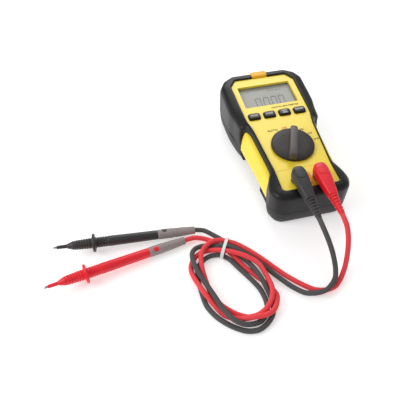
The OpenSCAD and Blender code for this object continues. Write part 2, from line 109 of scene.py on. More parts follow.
def panel_matrix(x: float, y: float, up: float = 0.0, turn: float = 0.0) -> Matrix:
    """Places a mesh made in metres on the panel.

    Args:
        x: Place across the meter in millimetres.
        y: Place along the meter in millimetres.
        up: Distance out of the panel in millimetres.
        turn: Turn about the panel's normal, in radians.

    Returns:
        The matrix from the mesh's own frame to the row frame.
    """
    return (
        Matrix.Translation(on_panel(x, y, 0.0, up) * MM)
        @ Matrix.Rotation(TILT, 4, "X")
        @ Matrix.Rotation(turn, 4, "Z")
    )


class Pattern(Enum):
    """How the colour of a finish varies over a surface."""

    CLOUDED = "clouded"
    BRUSHED = "brushed"
    TRACED = "traced"
    SPECKLED = "speckled"
    RINGED = "ringed"


def feed(tree: bpy.types.NodeTree, socket: bpy.types.NodeSocket, value: object) -> None:
    """Gives a node's input its value.

    Args:
        tree: The tree that the node is in.
        socket: The input.
        value: A plain value, or another node's output to link to.
    """
    if isinstance(value, bpy.types.NodeSocket):
        tree.links.new(value, socket)
    else:
        socket.default_value = value


def add_node(tree: bpy.types.NodeTree, kind: str, **inputs: object) -> bpy.types.Node:
    """Adds a node to a tree.

    Args:
        tree: The tree.
        kind: Blender's name of the node.
        inputs: Values or outputs by the input's name, with _ for a space.

    Returns:
        The node.
    """
    made = tree.nodes.new(kind)
    for name, value in inputs.items():
        feed(tree, made.inputs[name.replace("_", " ")], value)
    return made


@dataclass(frozen=True)
class Surface:
    """A material that is made once and shared."""

    name: str

    def build(self) -> bpy.types.Material:
        """Makes the material, or returns the one made before.

        Returns:
            The material.
        """
        found = bpy.data.materials.get(self.name)
        if found:
            return found
        material = bpy.data.materials.new(self.name)
        material.use_nodes = True
        self.wire(material.node_tree)
        return material

    def wire(self, tree: bpy.types.NodeTree) -> None:
        """Adds the finish's own nodes to the new material's tree."""
        raise NotImplementedError


@dataclass(frozen=True)
class Finish(Surface):
    """A moulded, printed or metal surface: two colours under a fine grain."""

    colour: Colour
    shade: Colour
    roughness: float = 0.45
    rough_spread: float = 0.08
    cloud: float = 60.0
    grain: float = 2500.0
    grain_depth: float = 0.00002
    pattern: Pattern = Pattern.CLOUDED
    metallic: float = 0.0
    coat: float = 0.0
    sheen: float = 0.0
    transmission: float = 0.0
    specular: float = 0.5
    glow: float = 0.0

    def wire(self, tree: bpy.types.NodeTree) -> None:
        """Adds the finish's own nodes to the new material's tree."""
        shader = tree.nodes["Principled BSDF"]
        for socket, value in (
            ("Metallic", self.metallic),
            ("Coat Weight", self.coat),
            ("Sheen Weight", self.sheen),
            ("Transmission Weight", self.transmission),
            ("Specular IOR Level", self.specular),
            ("Emission Strength", self.glow),
            ("Emission Color", (*self.colour, 1.0)),
        ):
            shader.inputs[socket].default_value = value
        place = tree.nodes.new("ShaderNodeTexCoord").outputs["Object"]
        if self.pattern is Pattern.BRUSHED:
            stretch = add_node(tree, "ShaderNodeMapping", Vector=place, Scale=(1.0, 1.0, 14.0))
            place = stretch.outputs["Vector"]
        mix = tree.nodes.new("ShaderNodeMix")
        mix.data_type = "RGBA"
        feed(tree, mix.inputs["Factor"], self._mask(tree, place))
        feed(tree, mix.inputs["A"], (*self.colour, 1.0))
        feed(tree, mix.inputs["B"], (*self.shade, 1.0))
        fine = add_node(tree, "ShaderNodeTexNoise", Vector=place, Scale=self.grain, Detail=3.0)
        spread = add_node(
            tree, "ShaderNodeMapRange", Value=fine.outputs["Fac"],
            To_Min=max(self.roughness - self.rough_spread, 0.02),
            To_Max=min(self.roughness + self.rough_spread, 1.0),
        )
        bump = add_node(
            tree, "ShaderNodeBump", Strength=0.6, Distance=self.grain_depth,
            Height=fine.outputs["Fac"],
        )
        feed(tree, shader.inputs["Base Color"], mix.outputs["Result"])
        feed(tree, shader.inputs["Roughness"], spread.outputs["Result"])
        feed(tree, shader.inputs["Normal"], bump.outputs["Normal"])

    def _mask(
        self, tree: bpy.types.NodeTree, place: bpy.types.NodeSocket
    ) -> bpy.types.NodeSocket:
        """Builds the pattern that mixes the two colours.

        Args:
            tree: The material's tree.
            place: The coordinate that the pattern reads.

        Returns:
            A value from 0 to 1.
        """
        size = {"Vector": place, "Scale": self.cloud}
        if self.pattern is Pattern.TRACED:
            tracks = add_node(
                tree, "ShaderNodeTexBrick", **size, Mortar_Size=0.04, Mortar=(1, 1, 1, 1),
                Color1=(0, 0, 0, 1), Color2=(0.25, 0.25, 0.25, 1),
            )
            return tracks.outputs["Color"]
        if self.pattern is Pattern.SPECKLED:
            return add_node(tree, "ShaderNodeTexVoronoi", **size).outputs["Color"]
        if self.pattern is Pattern.RINGED:
            return add_node(tree, "ShaderNodeTexWave", **size, Distortion=1.5).outputs["Fac"]
        cloud = add_node(tree, "ShaderNodeTexNoise", **size, Detail=4.0)
        ramp = add_node(
            tree, "ShaderNodeMapRange", Value=cloud.outputs["Fac"], From_Min=0.35, From_Max=0.65
        )
        return ramp.outputs["Result"]


@dataclass(frozen=True)
class ClearWindow(Surface):
    """Polished clear plastic over the display, with a faint haze."""

    name: str = "clear_window"
    tint: Colour = (0.96, 0.97, 0.96)
    roughness: float = 0.04
    hazed: float = 0.1
    alpha: float = 0.04
    ior: float = 1.49

    def wire(self, tree: bpy.types.NodeTree) -> None:
        """Adds the finish's own nodes to the new material's tree."""
        shader = tree.nodes["Principled BSDF"]
        shader.inputs["Base Color"].default_value = (*self.tint, 1.0)
        shader.inputs["Alpha"].default_value = self.alpha
        shader.inputs["IOR"].default_value = self.ior
        place = tree.nodes.new("ShaderNodeTexCoord").outputs["Object"]
        haze = add_node(tree, "ShaderNodeTexNoise", Vector=place, Scale=400.0)
        spread = add_node(
            tree, "ShaderNodeMapRange", Value=haze.outputs["Fac"], To_Min=self.roughness,
            To_Max=self.hazed,
        )
        feed(tree, shader.inputs["Roughness"], spread.outputs["Result"])


class Finishes:
    """Every finish on the meter, its leads and its probes."""

    YELLOW = Finish(
        "yellow_case", srgb(252, 194, 8), srgb(250, 187, 4), 0.5, 0.06, 22.0, 3200.0, 0.000012,
        specular=0.12,
    )
    RUBBER = Finish(
        "black_rubber", srgb(17, 17, 19), srgb(24, 24, 26), 0.38, 0.08, 35.0, 1800.0, 0.00002,
        specular=0.3,
    )
    REAR_RUBBER = Finish(
        "grey_rubber", srgb(46, 46, 48), srgb(54, 54, 56), 0.5, 0.08, 40.0, 1600.0, 0.00003,
        specular=0.3,
    )
    REAR_CASE = Finish(
        "rear_plastic", srgb(30, 30, 32), srgb(37, 37, 39), 0.6, 0.08, 50.0, 1400.0, 0.00004,
        specular=0.3,
    )
    STAND = Finish(
        "stand_plastic", srgb(44, 44, 46), srgb(50, 50, 52), 0.52, 0.08, 50.0, 1600.0, 0.00003,
    )
    BUTTON = Finish(
        "button_rubber", srgb(14, 11, 10), srgb(20, 17, 16), 0.26, 0.06, 90.0, 2600.0, 0.000012,
        specular=0.35,
    )
    KNOB = Finish(
        "knob_plastic", srgb(42, 37, 36), srgb(48, 42, 41), 0.46, 0.07, 70.0, 2600.0, 0.00002,
        specular=0.35,
    )
    GRIP = Finish(
        "grip_plastic", srgb(76, 69, 66), srgb(84, 76, 73), 0.42, 0.07, 70.0, 2600.0, 0.000016,
    )
    PRINT = Finish("black_print", srgb(44, 30, 10), srgb(52, 38, 16), 0.55, 0.05, 200.0)
    RED_PRINT = Finish("red_print", srgb(214, 70, 30), srgb(222, 84, 40), 0.5, 0.05, 200.0)
    ORANGE_PRINT = Finish("orange_print", srgb(247, 168, 30), srgb(250, 178, 40), 0.5, 0.05, 120.0)
    LINE_PRINT = Finish("line_print", srgb(196, 150, 40), srgb(188, 140, 34), 0.5, 0.05, 200.0)
    WHITE_PRINT = Finish("white_print", srgb(228, 226, 222), srgb(210, 208, 204), 0.5, 0.05, 300.0)
    LCD = Finish(
        "display_glass", srgb(140, 141, 134), srgb(148, 149, 142), 0.32, 0.05, 60.0, 5000.0,
        0.000004,
    )
    SEGMENT = Finish("display_segment", srgb(52, 50, 48), srgb(60, 58, 56), 0.4, 0.04, 300.0)
    AMBER = Finish(
        "amber_lens", srgb(250, 180, 22), srgb(252, 192, 40), 0.3, 0.06, 60.0, 1500.0, 0.00001,
        transmission=0.08, specular=0.3,
    )
    WHITE_PLASTIC = Finish("white_plastic", srgb(226, 226, 220), srgb(214, 214, 208), 0.45, 0.07)
    DIFFUSER = Finish("milky_diffuser", srgb(236, 234, 220), srgb(226, 222, 206), 0.5, 0.05)
    ELASTOMER = Finish(
        "zebra_elastomer", srgb(52, 52, 56), srgb(90, 88, 84), 0.6, 0.06, 420.0,
        pattern=Pattern.RINGED,
    )
    BOARD = Finish(
        "circuit_board", srgb(24, 92, 52), srgb(60, 130, 76), 0.35, 0.06, 260.0, 2400.0, 0.00003,
        pattern=Pattern.TRACED,
    )
    CHIP = Finish("chip_epoxy", srgb(28, 28, 30), srgb(36, 36, 38), 0.6, 0.08, 300.0)
    PARTS = Finish(
        "board_parts", srgb(150, 104, 62), srgb(96, 74, 58), 0.45, 0.1, 240.0,
        pattern=Pattern.SPECKLED,
    )
    SILICONE = Finish("pad_silicone", srgb(196, 196, 188), srgb(184, 184, 178), 0.55, 0.06)
    GOLD = Finish(
        "plated_contact", srgb(236, 190, 98), srgb(220, 170, 80), 0.25, 0.08, metallic=1.0,
        pattern=Pattern.BRUSHED,
    )
    BRASS = Finish(
        "turned_brass", srgb(222, 180, 96), srgb(200, 158, 78), 0.28, 0.1, 160.0, metallic=1.0,
        pattern=Pattern.RINGED,
    )
    STEEL = Finish(
        "bright_steel", srgb(196, 196, 198), srgb(168, 168, 172), 0.3, 0.1, 90.0, metallic=1.0,
        pattern=Pattern.BRUSHED,
    )
    SCREW = Finish(
        "dark_zinc", srgb(120, 120, 124), srgb(96, 96, 100), 0.4, 0.12, 120.0, metallic=1.0,
        pattern=Pattern.BRUSHED,
    )
    NICKEL = Finish(
        "nickel_pin", srgb(206, 206, 204), srgb(186, 186, 186), 0.2, 0.06, 90.0, metallic=1.0,
        pattern=Pattern.BRUSHED,
    )
    NEEDLE = Finish(
        "needle_steel", srgb(190, 184, 176), srgb(166, 160, 152), 0.28, 0.1, 110.0, metallic=1.0,
        pattern=Pattern.BRUSHED,
    )
    CERAMIC = Finish("fuse_ceramic", srgb(224, 216, 192), srgb(212, 202, 176), 0.3, 0.06)
    LED = Finish("led_resin", srgb(230, 96, 44), srgb(240, 120, 60), 0.2, 0.05, transmission=0.4)
    BATTERY = Finish(
        "battery_sleeve", srgb(150, 152, 158), srgb(60, 62, 70), 0.35, 0.06, 18.0, metallic=0.6,
        pattern=Pattern.RINGED,
    )
    BLACK_VINYL = Finish(
        "black_vinyl", srgb(40, 38, 39), srgb(47, 45, 46), 0.42, 0.08, 60.0, 2200.0, 0.000016,
        sheen=0.1,
    )
    RED_VINYL = Finish(
        "red_vinyl", srgb(236, 22, 44), srgb(228, 16, 36), 0.4, 0.07, 60.0, 2200.0, 0.000016,
        coat=0.1,
    )
    BLACK_CORD = Finish(
        "black_cord", srgb(44, 43, 45), srgb(52, 51, 53), 0.4, 0.08, 90.0, 1800.0, 0.00002,
        sheen=0.1,
    )
    RED_CORD = Finish(
        "red_cord", srgb(232, 36, 52), srgb(224, 26, 44), 0.4, 0.07, 90.0, 1800.0, 0.00002,
        coat=0.1,
    )
    SLEEVE = Finish(
        "grey_sleeve", srgb(112, 100, 99), srgb(120, 108, 106), 0.5, 0.08, 70.0, 2000.0, 0.00002,
    )
    TIE = Finish("white_tie", srgb(236, 236, 236), srgb(226, 226, 226), 0.5, 0.06, 200.0)
    WINDOW = ClearWindow()


CAD_FINISHES: tuple[tuple[Surface, tuple[str, ...]], ...] = (
    (Finishes.YELLOW, ("front_case",)),
    (Finishes.REAR_CASE, ("rear_case", "battery_cover")),
    (Finishes.WINDOW, ("display_window",)),
    (Finishes.LCD, ("lcd_glass",)),
    (Finishes.WHITE_PLASTIC, ("lcd_holder", "switch_rotor")),
    (Finishes.DIFFUSER, ("backlight",)),
    (Finishes.ELASTOMER, ("zebra_strips",)),
    (Finishes.BOARD, ("main_board",)),
    (Finishes.CHIP, ("meter_chip", "buzzer")),
    (Finishes.PARTS, ("board_parts",)),
    (Finishes.SILICONE, ("button_pad",)),
    (Finishes.GOLD, ("switch_contacts",)),
    (Finishes.STEEL, ("detent_springs", "detent_balls", "fuse_clips", "battery_contacts")),
    (Finishes.BRASS, ("jack_common", "jack_volts")),
    (Finishes.CERAMIC, ("fuse",)),
    (Finishes.LED, ("alert_led",)),
    (Finishes.BATTERY, ("battery_left", "battery_right")),
    (Finishes.SCREW, ("cover_screw", "case_screws", "board_screws")),
    (Finishes.STAND, ("tilt_stand",)),
    (Finishes.NICKEL, ("black_plug_pin", "red_plug_pin")),
    (Finishes.BLACK_VINYL, ("black_probe_body",)),
    (Finishes.RED_VINYL, ("red_probe_body",)),
    (Finishes.SLEEVE, ("black_probe_sleeve", "red_probe_sleeve")),
    (Finishes.NEEDLE, ("black_probe_needle", "red_probe_needle")),
)


def dress(obj: bpy.types.Object, finish: Surface) -> None:
    """Puts one finish on the whole of an object."""
    obj.data.materials.clear()
    obj.data.materials.append(finish.build())


def shown(name: str, data: bpy.types.ID) -> bpy.types.Object:
    """Makes an object of a mesh, text, lamp or camera and puts it in the scene."""
    obj = bpy.data.objects.new(name, data)
    bpy.context.scene.collection.objects.link(obj)
    return obj


def crisp(data: bpy.types.Mesh, angle: float = SMOOTH_ANGLE) -> None:
    """Shades a mesh smooth, except at edges sharper than the angle in degrees."""
    data.polygons.foreach_set("use_smooth", [True] * len(data.polygons))
    data.set_sharp_from_angle(angle=math.radians(angle))


def baked(name: str, carrier: bpy.types.Object, place: Matrix) -> bpy.types.Object:
    """Turns what a modifier or a text gives into a plain mesh.

    Args:
        name: The piece's name.
        carrier: The object with the modifier or the text, which is removed.
        place: Where the result goes.

    Returns:
        The piece.
    """
    graph = bpy.context.evaluated_depsgraph_get()
    graph.update()
    data = bpy.data.meshes.new_from_object(carrier.evaluated_get(graph))
    carrier.modifiers.clear()
    bpy.data.objects.remove(carrier)
    data.transform(place)
    data.name = name
    return shown(name, data)


def settle(obj: bpy.types.Object, body: str, slot: str, *nodes: str) -> bpy.types.Object:
    """Fixes a finished piece to a body, hides the CAD nodes that it replaces and logs it.

    Args:
        obj: The piece.
        body: The body that it moves with.
        slot: Not used.
        nodes: CAD nodes that it replaces.

    Returns:
        The piece.
    """
    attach(obj, body)
    if nodes:
        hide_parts(*nodes)
    LOG.info("%s: %d faces, rides %s", obj.name, len(obj.data.polygons), body)
    return obj


def make_piece(
    name: str, mesh: Mesh, finish: Surface, angle: float = SMOOTH_ANGLE
) -> bpy.types.Object:
    """Makes an object of a closed mesh given in millimetres.

    Args:
        name: The piece's name.
        mesh: Its points and faces.
        finish: Its finish.
        angle: Edges sharper than this, in degrees, stay crisp.

    Returns:
        The object, at the origin.
    """
    points, faces = mesh
    data = bpy.data.meshes.new(name)
    data.from_pydata([tuple(p * MM) for p in points], [], faces)
    work = bmesh.new()
    work.from_mesh(data)
    bmesh.ops.remove_doubles(work, verts=work.verts, dist=1e-7)
    bmesh.ops.recalc_face_normals(work, faces=work.faces)
    work.to_mesh(data)
    work.free()
    crisp(data, angle)
    obj = shown(name, data)
    dress(obj, finish)
    return obj


def loft(rings: Sequence[Sequence[Vector]], closed: bool = False) -> Mesh:
    """Skins a row of rings that have the same number of points.

    Args:
        rings: The rings, each a closed loop.
        closed: Whether the last ring joins the first, in place of two caps.

    Returns:
        Points and faces.
    """
    count, around = len(rings), len(rings[0])
    points = [Vector(p) for ring in rings for p in ring]
    faces: list[tuple[int, ...]] = []
    for i in range(count if closed else count - 1):
        a, b = i * around, ((i + 1) % count) * around
        for k in range(around):
            j = (k + 1) % around
            faces.append((a + k, a + j, b + j, b + k))
    if not closed:
        faces.append(tuple(range(around))[::-1])
        faces.append(tuple(range((count - 1) * around, count * around)))
    return points, faces


def joined(*meshes: Mesh) -> Mesh:
    """Puts several meshes into one."""
    points: list[Vector] = []
    faces: list[tuple[int, ...]] = []
    for p, f in meshes:
        base = len(points)
        points += p
        faces += [tuple(base + i for i in face) for face in f]
    return points, faces


def moved(mesh: Mesh, place: Callable[[Vector], Vector]) -> Mesh:
    """Carries each point of a mesh through a function."""
    return [place(p) for p in mesh[0]], mesh[1]


def revolve(profile: Sequence[Place], sides: int = 64) -> Mesh:
    """Turns a profile of radius and height about the Z axis.

    Args:
        profile: Pairs of radius and height, from one end to the other.
        sides: How many sides the round has.

    Returns:
        Points and faces, closed at both ends.
    """
    rings = [
        [
            Vector((r * math.cos(a), r * math.sin(a), h))
            for a in (2 * math.pi * k / sides for k in range(sides))
        ]
        for r, h in profile
    ]
    return loft(rings)


def rounded_loop(half_x: float, half_y: float, power: float, sides: int = 40) -> list[Place]:
    """Draws a superellipse.

    Args:
        half_x: Half its width.
        half_y: Half its depth.
        power: 2 is an ellipse, and more is squarer.
        sides: How many points it has.

    Returns:
        The loop's points.
    """
    loop = []
    for k in range(sides):
        a = 2 * math.pi * (k + 0.5) / sides
        c, s = math.cos(a), math.sin(a)
        loop.append(
            (
                half_x * math.copysign(abs(c) ** (2 / power), c),
                half_y * math.copysign(abs(s) ** (2 / power), s),
            )
        )
    return loop


def softened(points: Sequence[Vector], cut: float = 0.14, rounds: int = 2) -> list[Vector]:
    """Cuts the corners of a closed loop, so that they come out round.

    Args:
        points: The loop's corners.
        cut: Share of each edge that a cut takes.
        rounds: How often the corners are cut.

    Returns:
        The rounder loop.
    """
    loop = [Vector(p) for p in points]
    for _ in range(rounds):
        rounder = []
        for i, a in enumerate(loop):
            b = loop[(i + 1) % len(loop)]
            rounder += [a.lerp(b, cut), a.lerp(b, 1 - cut)]
        loop = rounder
    return loop


def smooth_rows(rows: Sequence[Sequence[float]], steps: int, closed: bool) -> list[list[float]]:
    """Runs a smooth curve through rows of numbers, spaced by their first two.

    Args:
        rows: The rows, of which the first two numbers are a place.
        steps: How many rows come out for each one that goes in.
        closed: Whether the last row joins the first.

    Returns:
        The rows of the curve.
    """
    n = len(rows)

    def row(i: int) -> Sequence[float]:
        """A row, past the ends too."""
        return rows[i % n] if closed else rows[min(max(i, 0), n - 1)]

    def gap(a: Sequence[float], b: Sequence[float]) -> float:
        """Distance between two rows' places."""
        return max(math.hypot(a[0] - b[0], a[1] - b[1]), 1e-6)

    found = []
    for i in range(n if closed else n - 1):
        p0, p1, p2, p3 = row(i - 1), row(i), row(i + 1), row(i + 2)
        d1 = gap(p1, p2)
        d0 = gap(p0, p1) if p0 is not p1 else d1
        d2 = gap(p2, p3) if p2 is not p3 else d1
        for k in range(steps):
            t = k / steps
            h00, h10 = 2 * t**3 - 3 * t**2 + 1, t**3 - 2 * t**2 + t
            h01, h11 = -2 * t**3 + 3 * t**2, t**3 - t**2
            found.append(
                [
                    h00 * b + h10 * 0.85 * d1 * (c - a) / (d0 + d1)
                    + h01 * c + h11 * 0.85 * d1 * (e - b) / (d1 + d2)
                    for a, b, c, e in zip(p0, p1, p2, p3)
                ]
            )
    if not closed:
        found.append(list(rows[-1]))
    return found


def tube(path: Sequence[Vector], radius: float, sides: int = 16) -> Mesh:
    """Makes a round tube along a path, without twist.

    Args:
        path: The centreline's points.
        radius: The tube's radius.
        sides: How many sides it has.

    Returns:
        Points and faces, with flat ends.
    """
    rings = []
    side = None
    for i, p in enumerate(path):
        ahead = (path[min(i + 1, len(path) - 1)] - path[max(i - 1, 0)]).normalized()
        if side is None:
            side = ahead.cross(UP).normalized()
        side = (side - ahead * side.dot(ahead)).normalized()
        up = side.cross(ahead)
        rings.append(
            [
                p + radius * (math.cos(a) * side + math.sin(a) * up)
                for a in (2 * math.pi * k / sides for k in range(sides))
            ]
        )
    return loft(rings)


class NodeTree:
    """A Geometry Nodes tree with named inputs, built node by node."""

    def __init__(self, name: str) -> None:
        """Starts a tree that takes and gives a geometry.

        Args:
            name: The tree's name.
        """
        self.tree = bpy.data.node_groups.new(name, "GeometryNodeTree")
        for way in ("OUTPUT", "INPUT"):
            self.tree.interface.new_socket(
                name="Geometry", in_out=way, socket_type="NodeSocketGeometry"
            )
        self.entry = self.tree.nodes.new("NodeGroupInput")
        self.exit = self.tree.nodes.new("NodeGroupOutput")
        self.values: dict[str, object] = {}

    def give(self, name: str, kind: str, value: object) -> bpy.types.NodeSocket:
        """Adds a named input.

        Args:
            name: The input's name.
            kind: Float, Int or Material.
            value: What the piece sets it to.

        Returns:
            The socket inside the tree.
        """
        socket = self.tree.interface.new_socket(
            name=name, in_out="INPUT", socket_type=f"NodeSocket{kind}"
        )
        self.values[socket.identifier] = value
        return self.entry.outputs[name]

    def node(self, kind: str, **inputs: object) -> bpy.types.Node:
        """Adds a node, with its inputs given as add_node takes them."""
        return add_node(self.tree, kind, **inputs)

    def math(self, operation: str, a: object, b: object) -> bpy.types.NodeSocket:
        """Adds a Math node.

        Args:
            operation: What it does.
            a: The first value or output.
            b: The second.

        Returns:
            Its result.
        """
        made = self.tree.nodes.new("ShaderNodeMath")
        made.operation = operation
        for socket, value in zip(made.inputs, (a, b)):
            feed(self.tree, socket, value)
        return made.outputs[0]

    def finish(
        self, name: str, geometry: bpy.types.NodeSocket, source: bpy.types.Mesh,
        finish: Surface, place: Matrix,
    ) -> bpy.types.Object:
        """Ends the tree, runs it and keeps its result as a plain mesh.

        Args:
            name: The piece's name.
            geometry: The geometry so far.
            source: The mesh that the tree starts from.
            finish: The piece's finish.
            place: Where the result goes.

        Returns:
            The piece.
        """
        material = self.give("Material", "Material", finish.build())
        real = self.node("GeometryNodeRealizeInstances", Geometry=geometry)
        last = self.node("GeometryNodeSetMaterial", Geometry=real.outputs[0], Material=material)
        self.tree.links.new(last.outputs[0], self.exit.inputs[0])
        carrier = shown(name + "_source", source)
        modifier = carrier.modifiers.new("build", "NODES")
        modifier.node_group = self.tree
        for identifier, value in self.values.items():
            modifier[identifier] = value
        piece = baked(name, carrier, place)
        crisp(piece.data)
        return piece


def rib_stack(
    name: str, count: int, pitch: float, radius: float, taper: float, thickness: float,
    finish: Finish, place: Matrix,
) -> bpy.types.Object:
    """Makes a row of round ribs that get smaller, with Geometry Nodes.

    Args:
        name: The piece's name.
        count: How many ribs.
        pitch: Distance between ribs, in metres.
        radius: Radius of the first rib's ring, in metres.
        taper: Share by which each rib is smaller than the one before.
        thickness: Radius of the ring's own section, in metres.
        finish: Its finish.
        place: Where the first rib goes, with Z along the row.

    Returns:
        The piece.
    """
    tree = NodeTree(name + "_ribs")
    ribs = tree.give("Rib Count", "Int", count)
    step = tree.give("Pitch", "Float", pitch)
    ring = tree.give("Ring Radius", "Float", radius)
    less = tree.give("Taper", "Float", taper)
    thick = tree.give("Thickness", "Float", thickness)
    offset = tree.node("ShaderNodeCombineXYZ", Z=step)
    line = tree.node("GeometryNodeMeshLine", Count=ribs, Offset=offset.outputs[0])
    circle = tree.node("GeometryNodeCurvePrimitiveCircle", Resolution=48, Radius=ring)
    section = tree.node("GeometryNodeCurvePrimitiveCircle", Resolution=10, Radius=thick)
    solid = tree.node(
        "GeometryNodeCurveToMesh", Curve=circle.outputs[0], Profile_Curve=section.outputs[0]
    )
    index = tree.node("GeometryNodeInputIndex").outputs[0]
    size = tree.math("SUBTRACT", 1.0, tree.math("MULTIPLY", index, less))
    scale = tree.node("ShaderNodeCombineXYZ", X=size, Y=size, Z=1.25)
    copies = tree.node(
        "GeometryNodeInstanceOnPoints", Points=line.outputs[0], Instance=solid.outputs[0],
        Scale=scale.outputs[0],
    )
    return tree.finish(name, copies.outputs[0], bpy.data.meshes.new(name), finish, place)


def bar_field(
    name: str, spots: Sequence[Spot], length: float, width: float,
    height: float, finish: Finish, place: Matrix,
) -> bpy.types.Object:
    """Lays small printed bars at given spots, with Geometry Nodes.

    Args:
        name: The piece's name.
        spots: X and Y in millimetres and a turn in radians.
        length: A bar's length in millimetres.
        width: A bar's width in millimetres.
        height: A bar's thickness in millimetres.
        finish: Its finish.
        place: The matrix of the surface that they lie on.

    Returns:
        The piece.
    """
    source = bpy.data.meshes.new(name + "_spots")
    source.from_pydata([(x * MM, y * MM, 0.0) for x, y, _ in spots], [], [])
    turns = source.attributes.new("turn", "FLOAT", "POINT")
    turns.data.foreach_set("value", [t for _, _, t in spots])
    tree = NodeTree(name + "_bars")
    size = tree.node(
        "ShaderNodeCombineXYZ",
        X=tree.give("Length", "Float", length * MM),
        Y=tree.give("Width", "Float", width * MM),
        Z=tree.give("Height", "Float", height * MM),
    )
    bar = tree.node("GeometryNodeMeshCube", Size=size.outputs[0])
    turn = tree.node("GeometryNodeInputNamedAttribute", Name="turn")
    turn.data_type = "FLOAT"
    spin = tree.node("ShaderNodeCombineXYZ", Z=turn.outputs["Attribute"])
    copies = tree.node(
        "GeometryNodeInstanceOnPoints", Points=tree.entry.outputs["Geometry"],
        Instance=bar.outputs[0], Rotation=spin.outputs[0],
    )
    return tree.finish(name, copies.outputs[0], source, finish, place)


def lettering(
    name: str, text: str, size: float, place: Matrix, finish: Finish
) -> bpy.types.Object:
    """Makes flat printed letters as a thin mesh.

    Args:
        name: The piece's name.
        text: What it says.
        size: Height of the letters in millimetres.
        place: Where its centre goes.
        finish: Its finish.

    Returns:
        The piece.
    """
    curve = bpy.data.curves.new(name, "FONT")
    curve.body = text
    curve.size = size * MM * 1.35
    curve.align_x = curve.align_y = "CENTER"
    curve.extrude = 0.03 * MM
    curve.offset = size * MM * 0.025
    curve.resolution_u = 3
    piece = baked(name, shown(name + "_text", curve), place)
    dress(piece, finish)
    return piece


@dataclass
class Studio:
    """Plain pale floor, soft light and the camera, in metres."""

    camera_at: Spot = (-0.1549, -0.3179, 0.3369)
    looks_along: Spot = (0.15407, 0.63515, -0.75687)
    lens: float = 45.0
    sensor: float = 36.0
    lights_aim: Spot = (-0.05, 0.0, 0.0)
    surround: float = 0.52
    floor_reach: float = 4.0
    floor_drop: float = 0.0002
    floor_finish: Finish = Finish(
        "pale_floor", (0.9, 0.9, 0.9), (0.89, 0.89, 0.89), 0.8, 0.05, 3.0, 400.0, 1e-5,
        specular=0.1, glow=0.42,
    )

    @staticmethod
    def _aimed(name: str, data: bpy.types.ID, at: Vector, ahead: Vector) -> bpy.types.Object:
        """Puts a lamp or a camera in its place and turns it.

        Args:
            name: Its name.
            data: The lamp or camera.
            at: Its place.
            ahead: The way that it looks.

        Returns:
            Its object.
        """
        obj = shown(name, data)
        obj.location = at
        obj.rotation_mode = "QUATERNION"
        obj.rotation_quaternion = ahead.to_track_quat("-Z", "Y")
        return obj

    def build_camera(self) -> None:
        """Makes the camera and puts it to use."""
        data = bpy.data.cameras.new("camera")
        data.lens, data.sensor_width = self.lens, self.sensor
        data.clip_start, data.clip_end = 0.01, 20.0
        bpy.context.scene.camera = self._aimed(
            "camera", data, Vector(self.camera_at), Vector(self.looks_along)
        )

    def build_lights(self) -> None:
        """Makes an even white surround with two large soft lights."""
        world = bpy.data.worlds.new("surround")
        world.use_nodes = True
        shade = world.node_tree.nodes["Background"]
        shade.inputs["Color"].default_value = (1.0, 1.0, 1.0, 1.0)
        shade.inputs["Strength"].default_value = self.surround
        bpy.context.scene.world = world
        bpy.context.scene.view_settings.view_transform = "Standard"
        for name, spot, size, power in (
            ("left_softbox", (-0.8, -0.05, 0.55), 0.6, 4.0),
            ("back_softbox", (0.2, 0.9, 0.8), 0.7, 5.5),
        ):
            lamp = bpy.data.lights.new(name, "AREA")
            lamp.shape, lamp.size, lamp.energy = "SQUARE", size, power
            at = Vector(spot)
            self._aimed(name, lamp, at, Vector(self.lights_aim) - at)

    def build_floor(self) -> None:
        """Makes the floor."""
        r = self.floor_reach
        data = bpy.data.meshes.new("floor")
        data.from_pydata([(-r, -r, 0), (r, -r, 0), (r, r, 0), (-r, r, 0)], [], [(0, 1, 2, 3)])
        obj = shown("floor", data)
        obj.location.z = -self.floor_drop
        dress(obj, self.floor_finish)


@dataclass
class Lead:
    """One free test lead from its plug to its probe, in millimetres."""

    name: str
    plug_body: str
    finish: Finish
    slot: str
    route: list[Spot]
    diameter: float = 4.0
    steps: int = 6
    sink: float = 0.9
    bend_y: float = -110.0
    bend_heights: tuple[float, float] = (12.0, 36.0)
    floor_gap: float = 0.02
    on_it: tuple[str, ...] = ("plug_pin", "probe_body", "probe_sleeve", "probe_needle")
    centreline: list[Vector] = field(default_factory=list)

    def build(self) -> bpy.types.Object:
        """Makes the lead as a fixed round tube along its route.

        Returns:
            The lead.
        """
        first = Vector(self.route[0]) + Vector((0.0, self.sink, 0.1))
        knots = [first, *(Vector(p) for p in self.route[1:])]
        # The knots are evenly spaced along the row's first two numbers.
        rows = smooth_rows([(i, 0.0, *p) for i, p in enumerate(knots)], self.steps, False)
        self.centreline = [Vector(r[2:]) for r in rows]
        for p in self.centreline:
            p.z = max(p.z, self.diameter / 2 + self.floor_gap)
        round_lead = tube(self.centreline, self.diameter / 2)
        lead = make_piece(self.name + "_cord", round_lead, self.finish)
        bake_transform(lead)
        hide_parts(self.name)
        LOG.info("%s: %d faces", lead.name, len(lead.data.polygons))
        return lead


